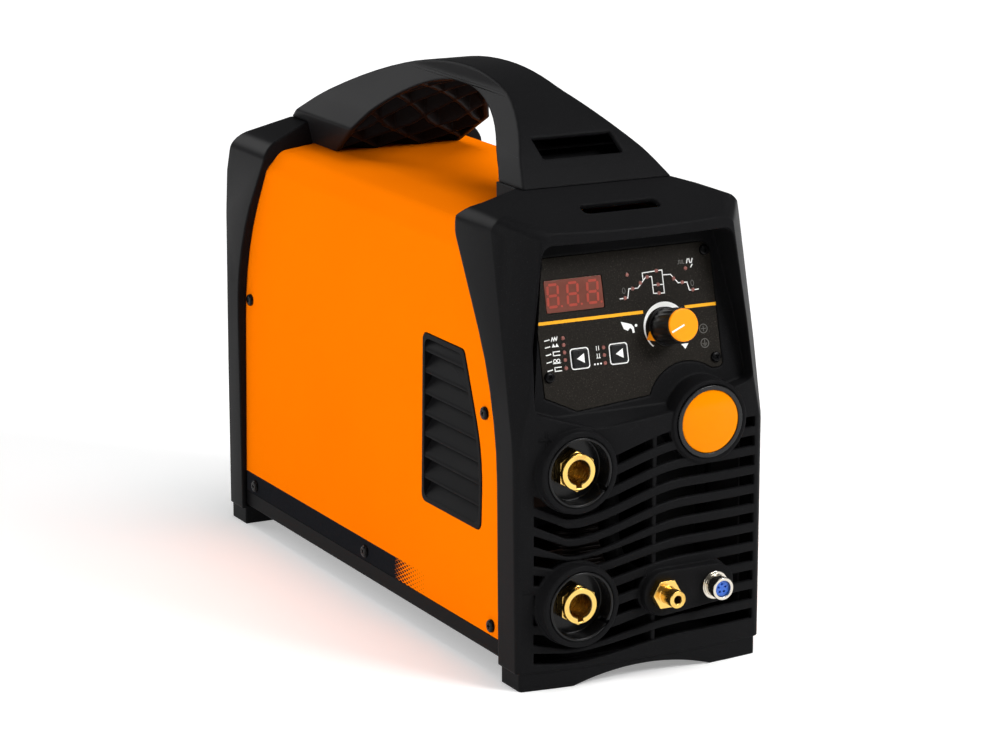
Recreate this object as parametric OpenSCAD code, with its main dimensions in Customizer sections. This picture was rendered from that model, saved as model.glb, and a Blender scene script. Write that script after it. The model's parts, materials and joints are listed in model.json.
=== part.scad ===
// Compact inverter power source for TIG welding: sheet cover and tray between two moulded bezels,
// with a carrying handle, a control panel in a pocket, a wave grille, output sockets and a rear fan.
// Millimetres, +Z up, the front faces -Y, the part stands on z = 0. Heights are given from the level line,
// which lies above the floor by the reach of the feet.

/* [Cover] */
// Width of the cover across its lower edges
cover_w = 139.2; // [134:0.2:150]
// Width of the cover where its sides bend into the roof
cover_top_w = 134; // [128:0.5:146]
// Height of the cover's lower edges
cover_edge_z = 18.5; // [17:0.5:22]
// Height at which the sides bend into the roof
shoulder_z = 218; // [212:0.5:221]
// Width across the outer edges of the roof
roof_edge_w = 121; // [112:1:125]
// Fall from the crown of the roof to its outer edges
roof_fall = 3; // [1:0.5:6]
// Width of the flat crown of the roof
crown_w = 72; // [50:1:90]
// Height of the crown of the roof
roof_z = 231.5; // [226:0.5:236]
// Outer radius of the cover's bends
bend_r = 9; // [6:0.5:10]
// Thickness of the steel sheet
sheet_t = 1.2; // [0.8:0.1:1.6]

/* [Bezels] */
// Length of the case, from the front's outer corners to the rear face
case_len = 372; // [360:1:420]
// Wall of the bezels
bezel_wall = 3; // [2.4:0.1:3.4]
// How far a bezel stands proud of the cover at the floor
bezel_lip = 3; // [2:0.1:4]
// How far a bezel stands proud of the cover at its widest
bezel_bulge = 4.1; // [2.8:0.1:5]
// Height at which a bezel is widest
bulge_z = 144; // [120:1:160]
// Fall of a bezel's top from its crest to its shoulders
shoulder_fall = 9.5; // [7:0.5:12]
// Radius of a bezel's shoulders
shoulder_r = 10; // [6:0.5:12]
// Height of the crest that carries the handle at the front
crest_z = 249.5; // [246:0.5:256]
// Height of the crest that carries the handle at the rear
rear_crest_z = 244; // [242:0.5:250]
// Width of the crest
crest_w = 88; // [80:1:100]
// How far the middle of the front stands before its corners
front_bow = 5.9; // [3:0.1:8]
// How far the middle of the rear stands behind its corners
rear_bow = 2.5; // [1:0.1:5]
// Radius of the upright corners of the front bezel
front_corner_r = 5; // [4:0.5:8]
// Radius of the upright corners of the rear bezel
rear_corner_r = 8; // [6:0.5:8.5]
// Height at which the front starts to lean back
lean_z = 150; // [140:1:165]
// Angle by which the upper front leans back
lean = 5; // [3:0.5:7]
// Depth of the front bezel's side at the foot
front_depth = 20.5; // [19:0.5:26]
// Depth of the front bezel at the roof
front_back_y = 68; // [64:0.5:72]
// Depth of the rear bezel's side at the foot
rear_depth = 21.5; // [20:0.5:26]
// Depth of the rear bezel at the roof
rear_back_y = 56; // [52:0.5:60]
// Distance of the handle's seam behind the front corners
front_seam_y = 47.4; // [44:0.2:52]
// Distance of the handle's seam before the rear face
rear_seam_y = 34; // [30:0.5:38]
// Reach of the feet below the level line
foot_drop = 2.6; // [1.5:0.1:3]
// Height of the step above the feet
foot_h = 7.2; // [6:0.1:8]
// How far the foot is set in
foot_inset = 2; // [1:0.1:3]
// Half width of the arch between the feet
arch_half_w = 41; // [30:1:50]
// Height of the arch between the feet
arch_h = 7; // [4:0.1:7.5]
// Underside of the base tray
tray_z = 8.8; // [8.5:0.1:11]
// How far the cover reaches into each bezel
cover_tuck = 6; // [4:0.5:8]
// Gap between a moulding and what slides into it
slide_gap = 0.3; // [0.2:0.05:0.5]

/* [Grille] */
// Pitch of the wave slots
slot_pitch = 10.5; // [9.5:0.1:11]
// Height of a wave slot
slot_h = 5.7; // [4.5:0.1:6.2]
// Height of the lowest slot at its right end
slot_first_z = 20.45; // [19:0.1:22]
// Right end of the slots, from the middle
slot_right = 68; // [60:0.5:68.5]
// Left end of the slots, from the middle
slot_left = 63.3; // [58:0.5:66]
// Fall of a slot from its right end to its left end
wave_fall = 5.5; // [3:0.1:6]
// Upright rib behind the bars, from the middle
rib_x = 5.5; // [0:0.5:10]

/* [Control panel] */
// Half width of the control panel
panel_half_w = 52.8; // [50:0.2:54]
// Height of the panel's reference line
panel_z = 187; // [184:0.5:190]
// Depth of the panel's face at its reference line
panel_y = 15.9; // [14:0.1:18]
// Angle by which the panel leans back
panel_tilt = 14; // [12:0.5:16]
// Thickness of the panel
panel_t = 2; // [1.5:0.1:2.5]
// Gap between the panel's carrier and the control board
board_gap = 8; // [7:0.5:10]
// Knob's centre to the right of the middle of the panel
knob_x = 21.5; // [19:0.5:24]
// Knob's centre above the panel's reference line
knob_v = -9; // [-11:0.5:-8]
// Radius of the knob
knob_r = 9.4; // [8:0.1:10]
// Height of the knob above the panel
knob_h = 19.5; // [16:0.5:22]
// Radius of the encoder's shaft
shaft_r = 3; // [2.5:0.1:3.2]
// Running gap between the shaft and its bush
shaft_gap = 0.05; // [0.03:0.01:0.08]
// Side of a push key
key_w = 9; // [8:0.1:9.6]
// Height of a key above the panel
key_proud = 1.2; // [1:0.1:1.6]
// Travel of a key
key_travel = 0.8; // [0.5:0.1:0.9]
// Width of the display
display_w = 34; // [30:0.5:34]
// Height of the display
display_h = 17.2; // [14:0.2:18]

/* [Front fittings] */
// Output sockets to the left of the middle
socket_x = 40.5; // [40:0.5:43]
// Height of the positive socket
positive_z = 113; // [111:0.5:114]
// Height of the negative socket
negative_z = 42.5; // [40:0.5:45]
// How far the positive boss stands proud of the front
positive_proud = 4.5; // [2:0.5:6]
// How far the negative boss stands proud of the front
negative_proud = 7; // [4:0.5:10]
// Radius of a socket boss
boss_r = 21.75; // [21:0.25:22.5]
// Radius of the plug bore in a socket
plug_bore_r = 6.5; // [6:0.1:6.8]
// Depth of a socket's cup
cup_depth = 13; // [10:0.5:15]
// Gas outlet to the right of the middle
gas_x = 7.5; // [6:0.5:9]
// Torch connector to the right of the middle
torch_x = 38; // [36:0.5:40]
// Height of the gas outlet and the torch connector
fitting_z = 43.5; // [42:0.5:45]
// How far the fittings' pad stands proud of the front
pad_proud = 5; // [3:0.5:7]
// Badge to the right of the middle
badge_x = 37; // [35:0.5:39]
// Height of the badge
badge_z = 130.4; // [129:0.2:132]
// Radius of the badge's ring
badge_r = 19.2; // [18:0.1:20]

/* [Handle] */
// Height of the top of the handle
handle_z = 295.5; // [288:0.5:304]
// Thickness of the grip at its top
grip_t = 9.2; // [8:0.1:12]
// Width of the grip
grip_w = 27; // [24:0.5:32]
// Distance of the handle's highest point behind the front corners
handle_peak_y = 172; // [165:1:180]
// Wall of the hollow legs
leg_wall = 3.5; // [3:0.1:4.5]

/* [Vents] */
// Height of the side vent's lower edge
vent_low_z = 71.5; // [66:0.5:80]
// Height of the side vent's upper edge
vent_top_z = 164.5; // [155:0.5:172]
// Rear edge of the side vent, behind the front corners
vent_back_y = 116; // [105:0.5:125]
// Number of louvre blades in a side vent
blade_count = 8; // [6:1:10]

/* [Rear] */
// Side of the square fan
fan_w = 118; // [110:1:120]
// Thickness of the fan
fan_t = 25; // [20:1:32]
// Height of the fan's centre
fan_z = 74; // [73:0.5:80]
// Height of the rear row of fittings
rear_row_z = 164; // [160:0.5:168]
// Power switch to the left of the middle
switch_x = 40; // [36:0.5:44]
// Cable gland to the right of the middle
gland_x = 42; // [38:0.5:46]
// Angle between the two settings of the power switch
switch_throw = 18; // [12:1:20]

/* [Hidden] */
$fn = 48;

// Colours of the finishes
orange = [1, 0.49, 0];
black = [0.11, 0.11, 0.12];
charcoal = [0.18, 0.17, 0.15];
brass = [0.80, 0.62, 0.25];
nickel = [0.75, 0.75, 0.74];
silver = [0.72, 0.73, 0.75];
copper = [0.72, 0.43, 0.25];
board_green = [0.10, 0.32, 0.18];

// Reach of the blocks that cut planes and slots
far = 400;
// Half width of the bezels at their widest
front_hw = cover_w/2 + bezel_bulge;
// Lean of the cover's sides, in degrees
side_lean = atan((cover_w - cover_top_w)/2/(shoulder_z - cover_edge_z));
// Height of the roof's outer edges
roof_edge_z = roof_z - roof_fall;
// Top of the tray's floor
floor_z = tray_z + sheet_t;
// Lower edge of the bezels' hollow
hollow_z = tray_z - slide_gap;
// Thickness of the plate that closes a bezel's foot
foot_plate = 2.4;
// Dip of the wave's valley for each slot, from the lowest slot up
wave_dips = [2, 4.5, 4, 4, 4, 5, 8, 9, 9, 9, 9];
slot_count = len(wave_dips);
// Slots up to this one start at the left end, the others start at the positive socket
full_slots = 8;

// Faces of the bosses, in front of the outer corners
function bow_y(x, d) = let(r = (front_hw*front_hw + d*d)/(2*d)) r - d - sqrt(r*r - x*x);
positive_face = bow_y(socket_x, front_bow) - positive_proud;
negative_face = bow_y(socket_x, front_bow) - negative_proud;
pad_face = -front_bow - pad_proud;
badge_face = bow_y(badge_x, front_bow) - 2.2;
// Depth of the badge's seat
badge_seat = 2.5;
// Rear face of the rear bezel at its middle, behind its corners
rear_face = -rear_bow;

// Gas outlet: hexagon, stub and hose tail
hex_r = 8.4;
hex_t = 5;
stub_r = 4.6;
stub_len = 10.5;
tail_len = 16;
gas_thread_r = 5;
torch_thread_r = 5.9;

// Rear fittings: cable gland and gas inlet
gland_reach = 22;
inlet_reach = 24;

// The part's origin lies below the middle of its length over all
front_tip = pad_face - hex_t - stub_len;
rear_tip = case_len + max(gland_reach, inlet_reach);
mid_y = (front_tip + rear_tip)/2;

// Points of an arc about c
function arc(c, r, a0, a1, n) = [for (k = [0:n]) c + r*[cos(a0 + (a1 - a0)*k/n), sin(a0 + (a1 - a0)*k/n)]];

// Points of one corner, rounded with radius r
function corner(a, b, c, r, n) =
    let(u = (a - b)/norm(a - b), v = (c - b)/norm(c - b), half = acos(u*v)/2)
    let(m = (u + v)/norm(u + v), o = b + m*r/sin(half), s = b + u*r/tan(half) - o, e = b + v*r/tan(half) - o)
    let(a0 = atan2(s.y, s.x), turn = (atan2(e.y, e.x) - a0 + 900)%360 - 180)
    [for (k = [0:n]) o + r*[cos(a0 + turn*k/n), sin(a0 + turn*k/n)]];

// Outline with rounded corners: each point is [x, y] or [x, y, radius]
function flat(p) = [p.x, p.y];
function rounded(p, n = 5) = let(m = len(p)) [
    for (k = [0:m - 1])
        each (len(p[k]) < 3 || p[k][2] <= 0)
            ? [flat(p[k])]
            : corner(flat(p[(k + m - 1)%m]), flat(p[k]), flat(p[(k + 1)%m]), p[k][2], n)
];

// Closed outline that is the same left and right of the middle, from its right half
function mirrored(p) = concat(
    p, [for (k = [len(p) - 1:-1:0]) [-p[k].x, p[k].y, len(p[k]) > 2 ? p[k][2] : 0]]);
function clamp(v) = max(0, min(1, v));
function smooth(v) = let(s = clamp(v)) s*s*(3 - 2*s);

// Extrusion of a front view (x, z) from depth y0 to y1
module along_y(y0, y1) {
    translate([0, y1, 0]) rotate([90, 0, 0]) linear_extrude(y1 - y0) children();
}

// Extrusion of a side view (y, z) across a width, about the middle
module along_x(w) {
    rotate([90, 0, 90]) linear_extrude(w, center = true) children();
}

// Round bar along Y
module rod_y(x, z, r, y0, y1) {
    translate([x, y1, z]) rotate([90, 0, 0]) cylinder(r = r, h = y1 - y0);
}

// Puts the machine's own lengths, measured from the front corners, in the part's frame
module placed() {
    translate([0, -mid_y, foot_drop]) children();
}

// Rear half: lengths run from the rear face forwards
module at_rear() {
    translate([0, case_len, 0]) mirror([0, 1, 0]) children();
}

// Frame of the control panel: x right, y up the panel, z out of its face
module on_panel() {
    translate([0, panel_y, panel_z]) rotate([90 - panel_tilt, 0, 0]) children();
}

// Frame of a cover side: x out of the side, y along the case, z up the side from the cover's edge
module on_side(side) {
    mirror([side < 0 ? 1 : 0, 0, 0])
        translate([cover_w/2, 0, cover_edge_z]) rotate([0, -side_lean, 0]) children();
}
function up_side(z) = (z - cover_edge_z)/cos(side_lean);

// Front view of the cover's outer skin, grown outwards
function cover_outline(grow, low) = rounded(mirrored(concat(
    low < cover_edge_z ? [[cover_w/2 + grow, low]] : [],
    [[cover_w/2 + grow, cover_edge_z],
     [cover_top_w/2 + grow, shoulder_z, bend_r],
     [roof_edge_w/2 + 0.7*grow, roof_edge_z + 0.8*grow, bend_r],
     [crown_w/2, roof_z + grow, 30]]
)));

// Front view of a bezel with its crest at a height, drawn in by its wall
function bezel_outline(inset, low, top) = rounded(mirrored([
    [cover_w/2 + bezel_lip - inset, low],
    [front_hw - inset, bulge_z, 500],
    [front_hw - 0.8 - inset, top - shoulder_fall - 0.8*inset, shoulder_r - inset],
    [crest_w/2 - 0.2*inset, top - inset]
]));

// Top view of a bezel's end, bowed by d, drawn in by its wall, with corners of radius r
bow_steps = 4;
function end_plan(d, inset, r) = let(hw = front_hw - inset) rounded(concat(
    [[hw, far/2]],
    [for (k = [bow_steps:-1:-bow_steps])
        let(x = hw*k/bow_steps) [x, bow_y(x, d) + inset, abs(k) == bow_steps ? r : 0]],
    [[-hw, far/2]]
));

// Side view of the swept edge where a bezel meets the cover, moved by dy
function sweep(depth, back, bend_z, dy) = [
    [depth + dy, -10],
    [depth + dy, bend_z, 150],
    [back + dy, shoulder_z + 9, 10],
    [back + dy, roof_z + 4.5]
];
function front_sweep(dy) = sweep(front_depth, front_back_y, shoulder_z - 72, dy);
function rear_sweep(dy) = sweep(rear_depth, rear_back_y, shoulder_z - 57, dy);

// Space of the cover and the tray inside a bezel, behind a swept edge
module cover_space(edge) {
    intersection() {
        along_y(0, far) polygon(cover_outline(slide_gap, hollow_z));
        along_x(far) polygon(rounded(concat(edge, [[far, roof_z + 4.5], [far, -10]])));
    }
}

// Slope of the brow, from the front up to the handle's seam
brow_y = 4.5;
brow_z = 235.7;
brow_slope = (crest_z - brow_z)/(front_seam_y - brow_y);

// Side views of the two bezels, drawn in by their wall
function front_profile(inset, low) = rounded(concat(
    [[-40, low]],
    [[front_depth - inset, low]],
    [for (k = [1:3]) front_sweep(-inset)[k]],
    [[front_back_y - 10 - inset, crest_z - 6 - inset]],
    [[front_back_y - 12 - inset, crest_z - inset]],
    [[front_seam_y, crest_z - inset]],
    [[-40, brow_z - inset*1.05 - (40 + brow_y)*brow_slope]]
));
function rear_profile(inset, low) = rounded(concat(
    [[rear_face + 3 + inset, low]],
    [[rear_depth - inset, low]],
    [for (k = [1:3]) rear_sweep(-inset)[k]],
    [[rear_back_y - inset, rear_crest_z - inset]],
    [[rear_seam_y, rear_crest_z - inset]],
    [[8 + 0.6*inset, rear_crest_z - 10 - 0.8*inset, 14],
     [rear_face + 2 + inset, shoulder_z - 35, 80],
     [rear_face + inset, bulge_z - 13, 400]]
));

// Blocks that cut the upper front corners to facets, moved inwards by the wall
facet_x = 57.7;
facet_lean = 8;
module corner_facets(inset) {
    for (side = [0, 1])
        mirror([side, 0, 0]) {
            translate([facet_x, brow_y, brow_z]) rotate([-facet_lean, 0, 57.3])
                translate([-far/2, -far + inset, -far/2]) cube(far);
            translate([facet_x + 6.3, brow_y + 10.3, brow_z]) rotate([-facet_lean, 0, 49.6])
                translate([-far/2, -far + inset, -far/2]) cube(far);
        }
}

// Solid form of the front bezel, drawn in by its wall
module front_form(inset, low) {
    plan = end_plan(front_bow, inset, front_corner_r - inset);
    difference() {
        intersection() {
            translate([0, 0, low]) linear_extrude(far) polygon(plan);
            translate([0, 0, lean_z]) rotate([-lean, 0, 0])
                translate([0, 0, -far/2]) linear_extrude(far) polygon(plan);
            along_y(-60, 150) polygon(bezel_outline(inset, low, crest_z));
            along_x(far) polygon(front_profile(inset, low));
        }
        corner_facets(inset);
    }
    crest_block(inset);
}

// Block under the handle's front leg, above the roof
leg_front_y = front_seam_y + 28;
module crest_block(inset) {
    hw = crest_w/2 - inset;
    translate([-hw, front_seam_y + 1 + inset, roof_z - 3])
        cube([2*hw, leg_front_y + 1 - front_seam_y - 2*inset, crest_z - roof_z + 3 - inset]);
}

// Solid form of the rear bezel in its own frame, drawn in by its wall
module rear_form(inset, low) {
    intersection() {
        translate([0, 0, low]) linear_extrude(far) polygon(end_plan(rear_bow, inset, rear_corner_r - inset));
        along_y(-60, 150) polygon(bezel_outline(inset, low, rear_crest_z));
        along_x(far) polygon(rear_profile(inset, low));
    }
}

// What is cut off a bezel below its foot step, and out of its underside
module foot_cut(d, depth) {
    step = front_hw - cover_w/2 - bezel_lip + foot_inset;
    low = -foot_drop - 1;
    difference() {
        translate([-far/2, -60, low]) cube([far, 200, foot_h - low]);
        translate([0, 0.8 - step, low - 1]) linear_extrude(far) polygon(end_plan(d, step, 2));
    }
    intersection() {
        translate([0, 0, low]) linear_extrude(hollow_z - foot_plate - low)
            polygon(end_plan(d, step + bezel_wall, 1));
        translate([-far/2, -60, low]) cube([far, 60 + depth - bezel_wall, far]);
    }
    arch_r = (arch_half_w*arch_half_w + arch_h*arch_h)/(2*arch_h);
    translate([0, 0, arch_h - foot_drop - arch_r]) rod_y(0, 0, arch_r, -60, 60);
}

// Tab inside the cover's side that takes a bezel's side screw
tab_t = 5;
tab_len = 26.4;
side_screw_z = 136;
module side_tab(depth) {
    inner = -sheet_t - slide_gap;
    side_x = cover_w/2 - (side_screw_z - cover_edge_z)*tan(side_lean);
    reach = front_hw - 0.7*bezel_wall - side_x;
    for (side = [-1, 1])
        on_side(side) {
            translate([inner - tab_t, 6, up_side(side_screw_z) - 8]) cube([tab_t, depth + tab_len - 6, 16]);
            translate([inner - tab_t, rear_corner_r + 1, up_side(side_screw_z) - 8])
                cube([tab_t - inner + reach, depth - cover_tuck - rear_corner_r - 2, 16]);
        }
}

// Places of the side screws: [depth from the front corners, height]
screw_inset = 13;
low_screw_z = 24;
side_screws = [
    [front_depth + screw_inset, low_screw_z], [case_len/2, low_screw_z],
    [case_len - rear_depth - screw_inset, low_screw_z],
    [front_depth + screw_inset + 9.5, side_screw_z], [case_len - rear_depth - screw_inset + 6, side_screw_z]
];
screw_r = 1.8;
hole_gap = 0.35;
module side_screw_holes(r, depth) {
    for (side = [-1, 1], p = side_screws)
        on_side(side)
            translate([-depth, p.x, up_side(p.y)]) rotate([0, 90, 0]) cylinder(r = r, h = depth + 5);
}

// Wave grille

// Height of a wave slot's centre line above its right end
wave_start = 44;
wave_valley = 112;
function wave(x, k) =
    let(d = slot_right - x, dip = wave_dips[k], span = slot_right + slot_left)
    dip*clamp((d - wave_valley)/(span - wave_valley))
        - (wave_fall + dip)*smooth((d - wave_start)/(wave_valley - wave_start));

wave_steps = 22;
function slot_outline(k) =
    let(x0 = k <= full_slots ? -slot_left : -socket_x, x1 = slot_right, z = slot_first_z + k*slot_pitch)
    let(xs = [for (s = [0:wave_steps]) x0 + (x1 - x0)*s/wave_steps])
    concat(
        [for (s = [0:wave_steps]) [xs[s], z + wave(xs[s], k) + slot_h/2]],
        [for (s = [wave_steps:-1:0]) [xs[s], z + wave(xs[s], k) - slot_h/2]]
    );

// Outline of the pad that carries the gas outlet and the torch connector
pad_r = 12;
pad_end_r = 10.4;
function pad_outline(grow) = concat(
    arc([gas_x + 1, fitting_z - 1], pad_r + grow, 90, 270, 12),
    arc([torch_x + 1.5, fitting_z + 0.6], pad_end_r + grow, -90, 90, 12)
);

// Bosses that the slots stop at, grown by a margin
badge_boss_r = 22;
module boss_bars(grow, y0, y1) {
    rod_y(-socket_x, positive_z, boss_r + grow, y0, y1);
    rod_y(-socket_x, negative_z, boss_r + grow, y0, y1);
    rod_y(badge_x, badge_z, badge_boss_r + grow, y0, y1);
    along_y(y0, y1) polygon(pad_outline(grow));
}

module grille_slots() {
    difference() {
        for (k = [0:slot_count - 1])
            along_y(-20, 6) polygon(slot_outline(k));
        boss_bars(1, -30, 20);
    }
}

// Pocket of the control panel

// Rim of the pocket in the front view, grown outwards
pocket_top_z = 229.3;
function pocket_rim(grow) = rounded([
    [55.3 + grow, pocket_top_z + grow, 6], [-55.3 - grow, pocket_top_z + grow, 6],
    [-62.6 - grow, 178, 60], [-63 - grow, 144.5 - grow, 5], [-28, 133.6 - grow, 30],
    [18, 138 - grow, 10], [52, 145.5 - grow, 8], [66 + grow, 148.5 - grow, 5], [63.6 + grow, 178, 60]
]);

// Outline of the control panel on its own plane, with the notch that clears the badge's boss
panel_top_v = 32.7;
panel_low_v = -46.5;
notch = [31, -53];
notch_r = 25.3;
function notch_angle(v, r) = asin((v - notch.y)/r);
function panel_outline(grow) = let(w = panel_half_w + grow, r = notch_r - grow) rounded(concat(
    [[w, panel_top_v + grow, 6], [-w, panel_top_v + grow, 6], [-w, -38 - grow], [-35, panel_low_v - grow]],
    arc(notch, r, 180 - notch_angle(-43 - grow, r), notch_angle(-32.9 - grow, r), 12),
    [[w, -32.9 - grow, 2.5]]
));

// Window behind the panel, inside the ledge that carries it
ledge = 5;
function panel_window() = let(w = panel_half_w - ledge) rounded([
    [w, panel_top_v - ledge, 3], [-w, panel_top_v - ledge, 3], [-w, -34, 3], [-34, -41, 3],
    [2, -38, 3], [13, -24, 3], [w, -24, 3]
]);

// Screws of the control panel on its own plane
panel_screw_places = [[-49.2, 28.3], [49.2, 28.3], [-49.2, -27.8], [49.2, -27.8]];
carrier_t = 2.5;
panel_screw_r = 1.5;

// Block that the pocket is cut from, left standing where the bezel is hollowed
module pocket_block() {
    intersection() {
        along_y(-40, 70) polygon(pocket_rim(bezel_wall));
        on_panel() translate([-far/2, -far/2, -panel_t - carrier_t]) cube([far, far, far]);
    }
}

// Hollow of the pocket, its ramp below the panel, the panel's seat and the window behind it
ramp_tilt = 33;
module pocket_cut() {
    intersection() {
        along_y(-60, 70) polygon(pocket_rim(0));
        on_panel() translate([-far/2, -far/2, 0]) cube([far, far, far]);
        translate([0, -front_bow, 133.4]) rotate([ramp_tilt, 0, 0]) translate([-far/2, -far/2, 0]) cube(far);
    }
    on_panel() {
        translate([0, 0, -panel_t]) linear_extrude(panel_t + 8) polygon(panel_outline(slide_gap));
        difference() {
            translate([0, 0, -panel_t - carrier_t - 1]) linear_extrude(carrier_t + 2)
                polygon(panel_window());
            for (p = panel_screw_places)
                translate([p.x, p.y, -far/2]) cylinder(r = 5, h = far);
        }
        for (p = panel_screw_places)
            translate([p.x, p.y, -20]) cylinder(r = panel_screw_r + hole_gap, h = 30);
    }
}

// Strap slot in the brow
strap_half = 22.5;
strap_w = 9.5;
strap_y = 24.2;
module strap_slot() {
    translate([0, strap_y, brow_z + (strap_y - brow_y)*brow_slope]) rotate([atan(brow_slope), 0, 0])
        translate([0, 0, -12]) linear_extrude(24) polygon(rounded([
            [strap_half, strap_w/2, 3], [-strap_half, strap_w/2, 3],
            [-strap_half, -strap_w/2, 3], [strap_half, -strap_w/2, 3]
        ]));
}

// Seats of the output sockets
shell_r = boss_r - 3.4;
neck_r = 14.2;
seat_t = 3;
module socket_seat(z, face) {
    rod_y(-socket_x, z, boss_r, face, face + cup_depth + seat_t);
}
module socket_bore(z, face) {
    rod_y(-socket_x, z, shell_r + slide_gap, face - 1, face + cup_depth);
    rod_y(-socket_x, z, neck_r + slide_gap, face, face + cup_depth + seat_t + 1);
}

// Moulded polarity marks beside the sockets
mark_w = 1.2;
mark_len = 8;
module polarity_marks() {
    y = bow_y(57, front_bow) + mark_w - 0.4;
    translate([-57, y, 131]) {
        cube([mark_len, 2*mark_w, mark_w], center = true);
        cube([mark_w, 2*mark_w, mark_len], center = true);
    }
    translate([-66.5, y + 1.4, 51]) cube([mark_len - 3, 2*mark_w, mark_w], center = true);
}

// Screws that hold the handle's legs to the crests, and the trays to the feet
handle_screw_x = 30;
handle_screw_in = 18;
foot_screw_x = 50;
foot_screw_in = 12;

module front_bezel() {
    color(black) placed() difference() {
        union() {
            difference() {
                front_form(0, -foot_drop);
                difference() {
                    union() {
                        front_form(bezel_wall, hollow_z);
                        cover_space(front_sweep(-cover_tuck - 2));
                    }
                    pocket_block();
                }
                grille_slots();
            }
            socket_seat(positive_z, positive_face);
            socket_seat(negative_z, negative_face);
            along_y(pad_face, 3) polygon(pad_outline(0));
            rod_y(badge_x, badge_z, badge_boss_r, badge_face, 9);
            intersection() {
                translate([rib_x - 1.2, -front_bow + 1.5, hollow_z - 1]) cube([2.4, 8, 130 - hollow_z]);
                front_form(1, hollow_z - 1);
            }
            side_tab(front_depth);
            polarity_marks();
        }
        difference() {
            pocket_cut();
            rod_y(badge_x, badge_z, badge_boss_r, badge_face, 20);
        }
        strap_slot();
        socket_bore(positive_z, positive_face);
        socket_bore(negative_z, negative_face);
        rod_y(gas_x, fitting_z, gas_thread_r + slide_gap, -60, 10);
        rod_y(torch_x, fitting_z, torch_thread_r + slide_gap, -60, 10);
        rod_y(badge_x, badge_z, badge_r + slide_gap, badge_face - 1, badge_face + badge_seat);
        foot_cut(front_bow, front_depth);
        side_screw_holes(screw_r + hole_gap, 20);
        for (side = [-1, 1]) {
            translate([side*handle_screw_x, front_seam_y + handle_screw_in, crest_z - 20])
                cylinder(r = screw_r + hole_gap, h = 30);
            translate([side*foot_screw_x, foot_screw_in, 0]) cylinder(r = screw_r + hole_gap, h = 30);
        }
    }
}

// Rear bezel: fan grille of rings and spokes, switch opening, gland and inlet holes
ring_count = 5;
ring_pitch = 10.4;
ring_slot = 6.4;
hub_r = 9;
spoke_w = 5;
fan_bore_r = fan_w/2 - 3.2;
switch_w = 22;
switch_h = 30;
gland_thread_r = 8;
inlet_thread_r = 5;
fan_hole = fan_w/2 - 6.5;
fan_places = [[1, 1], [-1, 1], [-1, -1], [1, -1]];
// Inner faces of the rear wall's pads and of the fan's bosses, from the rear corners
rear_flat = 4;
fan_front = 5;

module fan_grille() {
    difference() {
        for (k = [0:ring_count - 1])
            difference() {
                rod_y(0, fan_z, hub_r + k*ring_pitch + ring_slot, -30, 12);
                rod_y(0, fan_z, hub_r + k*ring_pitch, -31, 13);
            }
        for (a = [45, 135])
            translate([0, 0, fan_z]) rotate([0, a, 0]) translate([-far/2, -40, -spoke_w/2])
                cube([far, 80, spoke_w]);
    }
}

module rear_bezel() {
    color(black) placed() at_rear() difference() {
        union() {
            difference() {
                rear_form(0, -foot_drop);
                rear_form(bezel_wall, hollow_z);
                cover_space(rear_sweep(-cover_tuck - 2));
            }
            side_tab(rear_depth);
            intersection() {
                for (x = [-switch_x, gas_x, gland_x])
                    rod_y(x, rear_row_z, 16, rear_face, rear_flat);
                rear_form(0, hollow_z);
            }
            intersection() {
                for (p = fan_places)
                    rod_y(p.x*fan_hole, fan_z + p.y*fan_hole, 5, rear_face, fan_front);
                rear_form(0.5, hollow_z);
            }
        }
        fan_grille();
        along_y(-30, 30) polygon(rounded([
            for (p = fan_places)
                [p.x*(switch_w/2 + slide_gap) - switch_x, rear_row_z + p.y*(switch_h/2 + slide_gap), 2]
        ]));
        rod_y(gland_x, rear_row_z, gland_thread_r + slide_gap, -30, 30);
        rod_y(gas_x, rear_row_z, inlet_thread_r + slide_gap, -30, 30);
        for (p = fan_places)
            rod_y(p.x*fan_hole, fan_z + p.y*fan_hole, screw_r + hole_gap, -30, 30);
        along_y(-30, rear_seat) translate([-switch_x, rear_row_z])
            polygon(box_outline(switch_w + 5, switch_h + 5, 2));
        rod_y(gland_x, rear_row_z, 13, -30, rear_seat);
        rod_y(gas_x, rear_row_z, 9.5, -30, rear_seat);
        for (p = fan_places)
            rod_y(p.x*fan_hole, fan_z + p.y*fan_hole, head_r + 0.7, -30, rear_seat);
        foot_cut(rear_bow, rear_depth);
        at_rear() side_screw_holes(screw_r + hole_gap, 20);
        for (side = [-1, 1])
            translate([side*foot_screw_x, foot_screw_in, 0]) cylinder(r = screw_r + hole_gap, h = 30);
    }
}

// Steel cover: side view between the swept edges of the two bezels
function cover_side() = rounded(concat(
    front_sweep(-cover_tuck),
    [for (k = [3:-1:0])
        let(p = rear_sweep(-cover_tuck)[k]) [case_len - p.x, p.y, len(p) > 2 ? p[2] : 0]]
));

// Rear screws of the handle, up through the roof
handle_rear_x = 22;
handle_rear_in = 66;

module cover() {
    color(orange) placed() difference() {
        intersection() {
            difference() {
                along_y(-20, case_len + 20) polygon(cover_outline(0, cover_edge_z));
                along_y(-30, case_len + 30) polygon(cover_outline(-sheet_t, cover_edge_z - 5));
            }
            along_x(far) polygon(cover_side());
        }
        for (side = [-1, 1]) {
            on_side(side) side_plate(-10, 10) polygon(vent_outline(0));
            translate([side*handle_rear_x, case_len - handle_rear_in, roof_z - 10])
                cylinder(r = screw_r + hole_gap, h = 20);
        }
        side_screw_holes(screw_r + hole_gap, 10);
    }
}

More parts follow.
